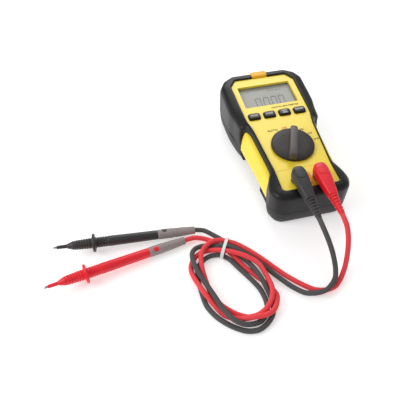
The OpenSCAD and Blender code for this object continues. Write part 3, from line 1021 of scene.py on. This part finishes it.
@dataclass
class Plug:
    """A right-angle plug with its ribbed relief and its thumb mark, in millimetres."""

    name: str
    x: float
    finish: Finish
    slot: str
    jack_y: float = -62.0
    arm_end: float = -26.0
    arm_up: float = 6.8
    relief: float = 18.0
    ribs: int = 6
    rib_pitch: float = 2.85
    rib_r: float = 3.3
    rib_taper: float = 0.075
    rib_thick: float = 0.72

    def _at(self, p: Vector) -> Vector:
        """Carries a point from the jack's own frame to the row frame."""
        return on_panel(self.x + p.x, self.jack_y, p.y, p.z)

    def build(self) -> list[bpy.types.Object]:
        """Makes the plug's pieces.

        Returns:
            The pieces.
        """
        stations = [
            (6.45, 1.6, 4.6, 10.6), (6.2, 3.0, 3.3, 11.5), (5.4, 4.4, 2.7, 12.0),
            (3.8, 5.5, 2.3, 12.2), (1.8, 6.1, 2.1, 12.3), (0.0, 6.3, 2.0, 12.3),
            (-3.0, 6.3, 1.9, 12.3), (-6.5, 6.1, 1.95, 12.2), (-10.0, 5.8, 2.0, 12.0),
            (-14.0, 5.4, 2.2, 11.7), (-18.0, 4.9, 2.5, 11.3), (-22.0, 4.4, 2.8, 10.9),
            (-25.0, 4.1, 3.0, 10.6), (-25.8, 3.9, 3.1, 10.4), (-26.1, 3.3, 3.6, 9.9),
        ]
        rows = smooth_rows([(v, 0.0, w, low, top) for v, w, low, top in stations], 3, False)
        rings = []
        for v, _, w, low, top in rows:
            middle, half = (low + top) / 2, (top - low) / 2
            rings.append([Vector((a, v, middle + b)) for a, b in rounded_loop(w, half, 3.4)])
        collar = revolve(
            [(0.0, 0.32), (5.5, 0.32), (5.75, 0.6), (5.75, 2.4), (5.0, 2.7), (5.0, 4.0), (0.0, 4.0)]
        )
        shroud = revolve([(3.6, 0.4), (4.8, 0.4), (4.8, -11.8), (4.6, -12.0), (3.6, -12.0)])
        head = make_piece(
            self.name + "_moulding", moved(joined(loft(rings), collar, shroud), self._at),
            self.finish,
        )
        settle(head, self.name, self.slot, self.name)
        arc = []
        for degrees in range(-84, 85, 7):
            c, s = math.cos(math.radians(degrees)), math.sin(math.radians(degrees))
            arc.append(Vector((4.1 * s, -3.4 - 2.9 * c, 12.25 - 0.192 * s**2)))
        mark = make_piece(
            self.name + "_thumb_mark", moved(tube(arc, 0.34, 8), self._at), self.finish
        )
        settle(mark, self.name, self.slot)
        return [head, mark, *self._relief()]

    def _relief(self) -> list[bpy.types.Object]:
        """Makes the relief's core and its ribs."""
        length = self.relief
        profile = [(0.0, -1.0), (3.4, -1.0), (3.2, 0.0)]
        profile += [(3.1 - 1.05 * t, length * t) for t in (0.05, 0.3, 0.6, 0.9)]
        profile += [(2.3, length - 0.6), (2.1, length), (0.0, length)]
        place = (
            panel_matrix(self.x, self.jack_y)
            @ Matrix.Translation(Vector((0, self.arm_end, self.arm_up)) * MM)
            @ Matrix.Rotation(math.radians(90), 4, "X")
        )
        core = make_piece(
            self.name + "_relief_core",
            moved(revolve(profile, 40), lambda p: (place @ (p * MM)) / MM),
            self.finish,
        )
        settle(core, self.name, self.slot, self.name + "_relief")
        ribs = rib_stack(
            self.name + "_relief_ribs", self.ribs, self.rib_pitch * MM, self.rib_r * MM,
            self.rib_taper, self.rib_thick * MM, self.finish,
            place @ Matrix.Translation((0, 0, 1.3 * MM)),
        )
        settle(ribs, self.name, self.slot)
        return [core, ribs]


@dataclass
class Probe:
    """The coloured dot on a probe's sleeve; its other pieces come from the frame."""

    name: str
    rear: Spot
    heading: float
    finish: Finish
    slot: str
    guard_r: float = 7.7
    sleeve_r: float = 4.1
    length: float = 116.0
    guard_at: float = 34.5
    mark_r: float = 2.3
    mark_at: float = 25.5
    mark_turn: float = -0.35
    mark_sides: int = 32

    def build(self) -> bpy.types.Object:
        """Makes the dot as a thin shell wrapped on the sleeve.

        Returns:
            The dot.
        """
        rise = math.asin((self.guard_r - self.sleeve_r) / (self.length - self.guard_at))
        place = (
            Matrix.Translation(Vector(self.rear))
            @ Matrix.Rotation(math.radians(self.heading), 4, "Z")
            @ Matrix.Rotation(-rise, 4, "Y")
        )
        rings = []
        for lift, shrink in ((-0.3, 1.0), (0.07, 1.0), (0.1, 0.9), (0.1, 0.45), (0.1, 0.02)):
            dot_r, lifted_r = self.mark_r * shrink, self.sleeve_r + lift
            ring = []
            for k in range(self.mark_sides):
                a = 2 * math.pi * k / self.mark_sides
                u = self.mark_at + dot_r * math.cos(a)
                w = dot_r * math.sin(a) / self.sleeve_r + self.mark_turn
                ring.append(place @ Vector((u, -lifted_r * math.sin(w), lifted_r * math.cos(w))))
            rings.append(ring)
        dot = make_piece(self.name + "_sleeve_mark", loft(rings), self.finish)
        return settle(dot, "root", self.slot)


@dataclass
class Housing:
    """The rubber frame, the rear bumpers and the case's smooth flanks."""

    rim: float = 1.5
    rear_top: float = 13.7
    lens_y: float = 75.0
    notch_half: float = 8.1
    notch_depth: float = 3.2

    def build(self) -> None:
        """Makes the housing's pieces."""
        self._frame()
        self._bumper(
            "rear_bumper_top",
            [
                (37.6, 4.6, 2.6), (38.4, 10.0, 0.8), (39.6, 18.0, 0.0), (41.2, 31.0, 0.0),
                (41.5, 45.0, 0.0), (41.3, 61.0, 0.0), (39.4, 69.6, 0.0), (34.4, 75.4, 0.0),
                (26.0, 78.2, 0.0), (12.0, 78.4, 0.0), (0.0, 78.4, 0.0),
            ],
        )
        self._bumper(
            "rear_bumper_bottom",
            [
                (31.2, -55.4, 1.4), (33.0, -58.2, 0.4), (34.4, -62.0, 0.0), (34.5, -66.5, 0.0),
                (31.4, -74.2, 0.0), (25.6, -78.2, 0.0), (13.0, -78.6, 0.0), (0.0, -78.6, 0.0),
            ],
        )
        self._flanks()
        self._lens()

    def _frame(self) -> None:
        """Makes the rubber frame as one closed sweep round the panel."""
        # inner x, y | upper outer x, y, level | widest x, y | lower edge x, y, z
        half = [
            (0.0, 70.8, 0.0, 76.2, 1.0, 0.0, 79.0, 0.0, 78.7, 14.0),
            (7.6, 70.8, 7.6, 76.2, 1.0, 7.6, 79.0, 7.6, 78.7, 14.0),
            (8.6, 70.8, 8.6, 76.4, 1.1, 8.6, 79.0, 8.6, 78.7, 14.0),
            (17.0, 70.8, 17.0, 76.4, 1.1, 17.5, 79.0, 17.4, 78.7, 14.0),
            (25.0, 70.8, 25.6, 76.2, 1.1, 26.6, 79.0, 26.5, 78.7, 14.0),
            (26.0, 70.1, 27.6, 75.4, 1.1, 28.4, 78.3, 28.2, 78.0, 14.0),
            (28.2, 67.1, 33.4, 71.9, 0.9, 36.2, 74.0, 35.9, 73.7, 14.0),
            (29.0, 66.0, 34.6, 70.8, 0.8, 37.5, 72.6, 37.2, 72.3, 14.0),
            (31.0, 63.2, 37.2, 66.2, 0.5, 41.3, 66.2, 41.0, 66.0, 14.0),
            (31.5, 62.0, 38.0, 64.0, 0.4, 42.0, 64.2, 41.7, 64.0, 14.0),
            (31.4, 55.0, 38.0, 55.0, 0.1, 42.0, 55.0, 41.7, 55.0, 14.0),
            (31.2, 42.0, 37.6, 42.0, 0.0, 42.0, 42.0, 41.7, 42.0, 14.0),
            (31.0, 31.0, 36.8, 31.4, 0.0, 41.6, 32.4, 41.2, 32.4, 14.0),
            (30.8, 20.0, 34.8, 21.2, 0.2, 39.8, 22.4, 39.5, 22.0, 14.0),
            (30.7, 16.5, 34.0, 16.8, 0.3, 39.0, 15.5, 38.9, 13.5, 14.0),
            (30.5, 13.6, 33.2, 13.6, 0.5, 38.2, 10.5, 38.3, 6.5, 14.0),
            (30.1, 11.2, 32.4, 11.2, 0.6, 37.2, 9.0, 37.9, 4.2, 15.2),
            (29.6, 9.0, 31.6, 9.2, 0.7, 35.6, 8.6, 37.0, 6.6, 20.0),
            (29.1, 6.6, 30.8, 6.8, 0.7, 33.6, 7.6, 34.9, 8.2, 25.0),
            (28.6, 3.6, 30.2, 3.8, 0.6, 31.9, 5.0, 32.4, 6.0, 28.4),
            (28.0, 0.0, 29.5, 0.0, 0.4, 30.3, 0.0, 30.9, 0.4, 29.6),
            (26.7, -20.0, 28.2, -20.0, 0.3, 28.9, -20.0, 29.3, -20.0, 29.2),
            (25.5, -40.0, 27.0, -40.0, 0.3, 27.7, -40.4, 28.1, -40.4, 28.0),
            (24.9, -46.8, 26.8, -47.0, 0.2, 28.4, -47.0, 29.2, -46.4, 24.0),
            (24.8, -51.8, 27.8, -52.4, 0.2, 31.2, -52.4, 32.2, -50.8, 17.5),
            (24.9, -57.5, 29.6, -58.2, 0.0, 33.8, -58.8, 34.0, -58.2, 14.0),
            (25.1, -64.5, 30.2, -66.0, 0.2, 34.8, -67.0, 34.6, -66.8, 14.0),
            (25.0, -68.8, 28.6, -72.4, 1.2, 31.6, -74.8, 31.4, -74.6, 14.0),
            (22.4, -70.5, 24.2, -75.2, 1.6, 25.6, -78.4, 25.5, -78.2, 14.0),
            (12.0, -70.5, 12.4, -75.4, 1.6, 12.8, -79.0, 12.8, -78.7, 14.0),
            (0.0, -70.5, 0.0, -75.4, 1.6, 0.0, -79.0, 0.0, -78.7, 14.0),
        ]
        turned = [
            tuple(-v if i in (0, 2, 5, 7) else v for i, v in enumerate(row))
            for row in half[-2:0:-1]
        ]
        rings = []
        for row in smooth_rows([*half, *turned], 6, True):
            xi, yi, xu, yu, nu, xo, yo, xg, yg, zg = row
            inner = Vector((xi, yi, panel_z(yi)))
            upper = Vector((xu, yu, panel_z(yu) + nu))
            outer = Vector((xo, yo, 0.0))
            lower = Vector((xg, yg, zg))
            rim = self.rim
            if abs(xi) < self.notch_half and yi > 0:
                rim, upper.z = -self.notch_depth, panel_z(yu) - self.notch_depth - 0.2
            inward = Vector((xi - xg, yi - yg, 0.0)).normalized()
            high = upper.z - 1.2
            outer.z = lower.z + 0.62 * max(high - lower.z, 0.5)
            rings.append(
                softened(
                    [
                        inner - 1.6 * UP,
                        inner + (rim - 0.2) * UP - 0.15 * inward,
                        inner.lerp(upper, 0.22) + rim * UP,
                        upper + 0.15 * UP,
                        upper.lerp(Vector((xo, yo, upper.z)), 0.62) - 1.1 * UP,
                        Vector((xo, yo, lower.z + 0.84 * (upper.z - lower.z))),
                        outer,
                        lower + 0.9 * UP,
                        lower,
                        lower + 2.4 * inward,
                        inner - 2.0 * inward - 3.4 * UP,
                    ]
                )
            )
        piece = make_piece("rubber_frame", loft(rings, True), Finishes.RUBBER, 60.0)
        settle(piece, "root", "rubber", "front_rubber_frame")

    def _bumper(self, name: str, half: list[Spot]) -> None:
        """Makes one rear bumper as a sweep round its end of the case.

        Args:
            name: The CAD node it stands for.
            half: Outer x, y and the lift of the lower edge, from one end to the middle.
        """
        whole = half + [(-x, y, lift) for x, y, lift in half[-2::-1]]
        way = math.copysign(1.0, half[0][1])
        rings = []
        rows = smooth_rows(whole, 5, False)
        for i, (x, y, lift) in enumerate(rows):
            a, b = rows[max(i - 1, 0)], rows[min(i + 1, len(rows) - 1)]
            ahead = Vector((b[0] - a[0], b[1] - a[1], 0.0)).normalized()
            inward = way * UP.cross(ahead)
            section = (
                (2.6, self.rear_top), (0.0, self.rear_top), (0.0, 8.0 + 0.3 * lift),
                (0.9, 3.0 + lift), (2.6, lift), (5.6, lift), (6.0, 1.0 + lift),
                (3.2, 7.0 + 0.5 * lift),
            )
            at = Vector((x, y, 0.0))
            rings.append(softened([at + depth * inward + z * UP for depth, z in section]))
        ends = []
        for ring in (rings[0], rings[-1]):
            middle = sum(ring, Vector()) / len(ring)
            ends.append([p.lerp(middle, 0.35) - Vector((0, 0.7 * way, 0)) for p in ring])
        piece = make_piece(
            name + "_moulding", loft([ends[0], *rings, ends[1]]), Finishes.REAR_RUBBER,
            50.0,
        )
        settle(piece, "root", "rear_rubber", name)

    def _flanks(self) -> None:
        """Makes the smooth slanting sides of the yellow case, one closed shell each."""
        for side, name in ((1, "right_flank"), (-1, "left_flank")):
            rows = [
                (12.0, 37.5, 28.6), (10.0, 37.6, 29.8), (7.0, 37.6, 30.4), (0.0, 37.4, 30.1),
                (-10.0, 36.7, 29.5),
                (-20.0, 35.9, 29.0), (-30.0, 35.2, 28.6), (-40.0, 34.5, 28.3),
                (-50.0, 34.0, 28.1), (-58.0, 33.8, 28.0),
            ]
            rings = []
            for y, low, high in rows:
                top = panel_z(y) - 5.2
                run = [
                    (low - 1.6, 13.2), (low - 0.3, 13.3), (low + 0.05, 14.0), (low + 0.1, 17.0),
                    (low - 0.15, 19.0),
                ]
                for t, out in (
                    (0.25, 1.0), (0.5, 1.7), (0.72, 2.2), (0.85, 2.6), (0.93, 2.6), (0.98, 2.0),
                ):
                    run.append((low + (high - low) * t + out, 17.0 + (top - 17.0) * t))
                run += [(high + 0.6, top + 0.3), (high - 2.2, top + 0.4), (low - 3.4, 17.5)]
                rings.append([Vector((side * x, y, z)) for x, z in run])
            piece = make_piece(name, loft(rings), Finishes.YELLOW, 40.0)
            settle(piece, "root", "yellow_case")

    def _lens(self) -> None:
        """Makes the amber light window at the display end."""
        base, top = 31.2, panel_z(self.lens_y) + 2.1
        rings = [
            [
                Vector((a, self.lens_y + b, z + 0.05 * b))
                for a, b in rounded_loop(8.0 + grow, 3.8 + grow, 6.0, 48)
            ]
            for z, grow in (
                (base, 0.0), (top - 1.4, 0.0), (top - 0.7, -0.15), (top - 0.25, -0.5), (top, -1.2),
            )
        ]
        piece = make_piece("amber_window", loft(rings), Finishes.AMBER, 50.0)
        settle(piece, "root", "amber", "amber_lens")


@dataclass
class Panel:
    """What is on the front panel: keys, knob, display digits and print."""

    key_y: float = 18.2
    key_xs: tuple[float, ...] = (-21.9, -7.3, 7.3, 21.9)
    key_words: tuple[tuple[str, ...], ...] = (("MODE",), ("HOLD",), ("MAX", "MIN"), ("RANGE",))
    key_top: float = 2.08
    line_pitch: float = 2.5
    knob_y: float = -23.5
    knob_rest: float = 21.0
    lcd_y: float = 46.0
    lcd_depth: float = 3.55
    digit_half: float = 2.4
    digit_quarter: float = 3.4
    digit_end: float = 6.7
    digit_drop: float = 7.0
    digit_lean: float = 0.05

    def build(self) -> None:
        """Makes everything on the panel."""
        for i, x in enumerate(self.key_xs, 1):
            self._key(i, x)
        self._knob()
        self._digits()
        self._print()

    def _key(self, number: int, x: float) -> None:
        """Makes one rubber key with its printed mark.

        Args:
            number: The key's number.
            x: Its place across the meter.
        """
        body = f"button_{number}"
        rings = []
        for up, half_x, half_y in (
            (-3.6, 6.2, 4.4), (-2.7, 6.2, 4.4), (-2.6, 5.45, 3.7), (1.0, 5.5, 3.75),
            (1.5, 5.42, 3.67), (1.85, 5.15, 3.4), (2.0, 4.6, 2.9), (2.06, 2.6, 1.6),
        ):
            rings.append(
                [on_panel(x + a, self.key_y, b, up) for a, b in rounded_loop(half_x, half_y, 5.0)]
            )
        key = make_piece(body + "_cap", loft(rings), Finishes.BUTTON, 50.0)
        settle(key, body, "button", body)
        words = self.key_words[number - 1]
        first_y = self.key_y + (1.15 if len(words) > 1 else 0.5)
        for line, text in enumerate(words):
            place = panel_matrix(x, first_y - self.line_pitch * line, self.key_top)
            mark = lettering(f"{body}_mark_{line + 1}", text, 1.8, place, Finishes.WHITE_PRINT)
            settle(mark, body, "button")

    def _knob(self) -> None:
        """Makes the knob's disc with its rounded edge, and its grip bar."""
        turn = -math.radians(self.knob_rest)
        place = panel_matrix(0.0, self.knob_y, 0.0, turn)

        def seat(p: Vector) -> Vector:
            """From the knob's own frame to the row frame."""
            return (place @ (p * MM)) / MM

        disc = revolve(
            [
                (0.0, 0.4), (18.5, 0.4), (18.95, 0.7), (19.0, 1.2), (18.9, 2.6), (18.6, 3.1),
                (18.0, 3.35), (12.0, 3.5), (0.0, 3.5),
            ],
            96,
        )
        shaft = revolve([(2.5, 0.6), (6.0, 0.6), (6.0, -9.4), (2.5, -9.4)], 48)
        piece = make_piece("knob_disc", moved(joined(disc, shaft), seat), Finishes.KNOB)
        settle(piece, "knob", "knob", "knob")
        rings = []
        for v, half, top in (
            (-18.7, 2.6, 7.0), (-18.4, 3.2, 8.1), (-17.6, 3.5, 8.9), (-15.0, 3.6, 9.3),
            (-8.0, 3.55, 9.5), (0.0, 3.5, 9.55), (8.0, 3.5, 9.5), (14.0, 3.45, 9.2),
            (16.0, 3.2, 8.7), (17.8, 2.4, 7.6), (19.2, 1.3, 6.0), (19.7, 0.7, 5.0),
        ):
            ring = []
            for a, b in (
                (-1.0, 3.0), (-0.985, top - 1.6), (-0.93, top - 0.7), (-0.8, top - 0.15),
                (-0.6, top), (0.0, top + 0.06), (0.6, top), (0.8, top - 0.15),
                (0.93, top - 0.7), (0.985, top - 1.6), (1.0, 3.0),
            ):
                ring.append(seat(Vector((a * half, v, b))))
            rings.append(ring)
        grip = make_piece("knob_grip", loft(rings), Finishes.GRIP, 35.0)
        settle(grip, "knob", "knob")

    def _digits(self) -> None:
        """Makes four thin seven-segment zeros and a row of signs on the display."""
        tall, wide = [], []
        for x in (-10.2, -2.5, 5.2, 12.9):
            for half in (-1, 1):
                for side in (-1, 1):
                    up = half * self.digit_quarter
                    at = x + side * self.digit_half + self.digit_lean * up
                    tall.append((at, up - self.digit_drop, math.pi / 2 - self.digit_lean))
                up = half * self.digit_end
                wide.append((x + self.digit_lean * up, up - self.digit_drop, 0.0))
        signs = [(x, 8.6, 0.0) for x in (3.0, 6.0, 9.0, 12.0, 15.0)]
        for name, spots, length, width in (
            ("tall", tall, 6.2, 0.7), ("wide", wide, 4.2, 0.9), ("signs", signs, 2.0, 0.9),
        ):
            piece = bar_field(
                f"display_{name}", spots, length, width, 0.05, Finishes.SEGMENT,
                panel_matrix(0.0, self.lcd_y, -self.lcd_depth),
            )
            settle(piece, "root", "lcd")

    def _print(self) -> None:
        """Makes the dial's and jacks' labels, the title, and the line and field at the jacks."""
        labels = (
            (-27.0, "AUTO", 2.6, 24.4, Finishes.PRINT), (1.0, "OFF", 2.3, 22.6, Finishes.RED_PRINT),
            (21.0, "V", 2.2, 23.0, Finishes.PRINT), (41.0, "Hz", 2.3, 23.2, Finishes.PRINT),
            (61.0, "mV", 2.3, 23.6, Finishes.PRINT), (81.0, "mA", 2.3, 24.2, Finishes.PRINT),
        )
        for angle, text, size, radius, finish in labels:
            a = math.radians(angle)
            at = panel_matrix(
                radius * math.sin(a), self.knob_y + radius * math.cos(a), 0.03
            )
            piece = lettering(f"dial_label_{text}", text, size, at, finish)
            settle(piece, "root", "yellow_case")
        title = lettering(
            "panel_title", "DIGITAL MULTIMETER", 2.0, panel_matrix(11.0, 27.0, 0.03),
            Finishes.PRINT,
        )
        settle(title, "root", "yellow_case")
        for name, text, x, y, finish in (
            ("jack_label_common", "COM", -1.2, -55.2, Finishes.PRINT),
            ("jack_label_volts", "V", 0.4, -60.5, Finishes.RED_PRINT),
            ("jack_label_signal", "Hz", 0.4, -66.5, Finishes.PRINT),
        ):
            piece = lettering(name, text, 1.8, panel_matrix(x, y, 0.05), finish)
            settle(piece, "root", "yellow_case")
        line = bar_field(
            "panel_line", [(-0.5, 0.0, 0.0)], 46.0, 0.22, 0.06, Finishes.LINE_PRINT,
            panel_matrix(0.0, -48.5, 0.02),
        )
        settle(line, "root", "yellow_case")
        zone = bar_field(
            "jack_zone", [(0.6, 0.0, 0.0)], 5.6, 15.0, 0.05, Finishes.ORANGE_PRINT,
            panel_matrix(0.0, -62.5, 0.015),
        )
        settle(zone, "root", "yellow_case")


@dataclass
class TwistTie:
    """The white tie round the bundled strands."""

    at: Spot = (-80.5, -95.0, 0.0)
    turn: float = -30.0
    middle: tuple[float, float] = (0.8, 5.2)
    half: tuple[float, float] = (10.1, 4.95)
    width: float = 2.6

    def build(self) -> bpy.types.Object:
        """Makes the tie as a thin closed strap.

        Returns:
            The tie.
        """
        turn = math.radians(self.turn)
        across = Vector((math.cos(turn), math.sin(turn), 0.0))
        run = Vector((-math.sin(turn), math.cos(turn), 0.0))
        rings = []
        for a, b in rounded_loop(1.0, 1.0, 2.7, 72):
            ring = []
            for w, lift in (
                (-0.5, 0.0), (-0.44, 0.2), (0.44, 0.2), (0.5, 0.0), (0.44, -0.2), (-0.44, -0.2),
            ):
                y = self.middle[0] + a * (self.half[0] - 0.2 + lift)
                z = self.middle[1] + b * (self.half[1] - 0.2 + lift)
                ring.append(Vector(self.at) + across * (w * self.width) + run * y + UP * z)
            rings.append(ring)
        piece = make_piece("bundle_tie", loft(rings, True), Finishes.TIE)
        return settle(piece, "root", "tie", "twist_tie")


BLACK_ROUTE = [
    (-9.5, -107, 37.5), (-9, -115.5, 35.5), (-6.5, -122.5, 28.5), (-3.5, -128, 18.5),
    (-2.5, -134.5, 10), (-4.5, -141, 6.5), (-9, -146, 6.5), (-15.5, -150, 6),
    (-23.5, -150, 4.5), (-31.5, -146.5, 2.5), (-39.5, -138, 2), (-46, -128.5, 2),
    (-53, -118.5, 3), (-60.5, -109.5, 5), (-68.5, -101, 6.5), (-78.5, -94, 8),
    (-89, -89.5, 4), (-96, -86.5, 3), (-103, -88, 3.5), (-107, -93.5, 5.5),
    (-108, -102, 7), (-106.5, -113.5, 7.5), (-103, -125, 7.5), (-99.5, -136.5, 7.5),
    (-96, -148, 7), (-91, -158, 7.5), (-84.5, -162.5, 6), (-77, -163, 4),
    (-70, -161, 2.5), (-64.5, -155.5, 2), (-62, -147, 2), (-63, -136, 2),
    (-67.5, -125, 2), (-73, -114.5, 2), (-79, -104, 3), (-85.5, -98, 2.5),
    (-92.5, -97, 2), (-99, -99.5, 2), (-105, -105.5, 2), (-107.5, -116, 2),
    (-107.5, -128, 2), (-106.5, -140, 2), (-101.5, -150.5, 2), (-93.5, -159.5, 2),
    (-84, -166, 2), (-75, -167.5, 2), (-67.5, -164.5, 2), (-61, -158.5, 2),
    (-57.5, -149.5, 2), (-58.5, -139, 4.5), (-61, -127.5, 7.5), (-64, -115, 5),
    (-67.5, -105.5, 2), (-73.5, -94.5, 2.5), (-79.5, -84.5, 3), (-85.5, -77.5, 3),
    (-92, -72, 4), (-99, -70, 4.5),
]
RED_ROUTE = [
    (9.5, -107, 37.5), (9.5, -115.5, 35.5), (10, -121.5, 28), (9.5, -127, 18),
    (6.5, -134, 8.5), (1, -141, 3.5), (-6, -146.5, 2), (-14, -148, 2),
    (-23, -145.5, 2), (-31.5, -138, 2), (-39.5, -129, 2), (-46.5, -119.5, 2.5),
    (-54, -110, 4), (-62, -101, 5.5), (-70.5, -93, 6.5), (-80, -88, 7.5),
    (-88.5, -87.5, 8.5), (-95.5, -91, 8), (-100.5, -97.5, 7.5), (-102.5, -108.5, 6),
    (-102, -120, 3.5), (-100.5, -131.5, 2), (-95.5, -142, 2), (-88, -150.5, 2),
    (-79.5, -156, 2.5), (-72, -157, 4.5), (-65, -154.5, 6.5), (-59, -148.5, 7.5),
    (-55.5, -139.5, 8), (-56, -127.5, 7), (-59, -116, 8), (-67, -107.5, 8.5),
    (-76.5, -100.5, 8), (-87, -95, 6), (-96, -92.5, 3.5), (-103, -94, 2),
    (-108.5, -99.5, 2), (-111, -107.5, 3), (-110, -118.5, 6), (-106.5, -130, 6.5),
    (-101.5, -140.5, 4), (-95.5, -150.5, 2), (-86, -157, 4.5), (-76.5, -159.5, 7.5),
    (-67, -160, 8), (-60, -157, 7), (-55.5, -151, 6), (-53, -143.5, 4),
    (-56, -133.5, 2), (-62.5, -123.5, 2), (-69, -113, 2), (-74, -103, 2.5),
    (-80, -92, 2.5), (-87, -84, 2.5), (-94, -79.5, 3), (-101.5, -77.5, 4),
    (-109.5, -78.5, 4.5),
]


def main() -> None:
    """Builds every sub-assembly in order."""
    logging.basicConfig(level=logging.INFO, format="%(name)s %(message)s")
    studio = Studio()
    studio.build_camera()
    black = Lead("black_lead", "black_plug", Finishes.BLACK_CORD, "black_cord", BLACK_ROUTE)
    red = Lead("red_lead", "red_plug", Finishes.RED_CORD, "red_cord", RED_ROUTE)
    black_cord, red_cord = black.build(), red.build()
    for finish, names in CAD_FINISHES:
        for node in names:
            dress(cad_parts[node], finish)
            LOG.info("%s: %s", node, finish.name)
    black_plug = Plug("black_plug", -9.5, Finishes.BLACK_VINYL, "black_lead_plastic").build()
    red_plug = Plug("red_plug", 9.5, Finishes.RED_VINYL, "red_lead_plastic").build()
    tie = TwistTie().build()
    black_dot = Probe(
        "black", (-99.2, -70.0, 4.4), 177.4, Finishes.BLACK_VINYL, "black_lead_plastic",
        mark_turn=0.3,
    ).build()
    red_dot = Probe(
        "red", (-109.7, -78.5, 4.4), 191.0, Finishes.RED_VINYL, "red_lead_plastic"
    ).build()
    Housing().build()
    Panel().build()
    studio.build_lights()
    studio.build_floor()


if __name__ == "__main__":
    main()
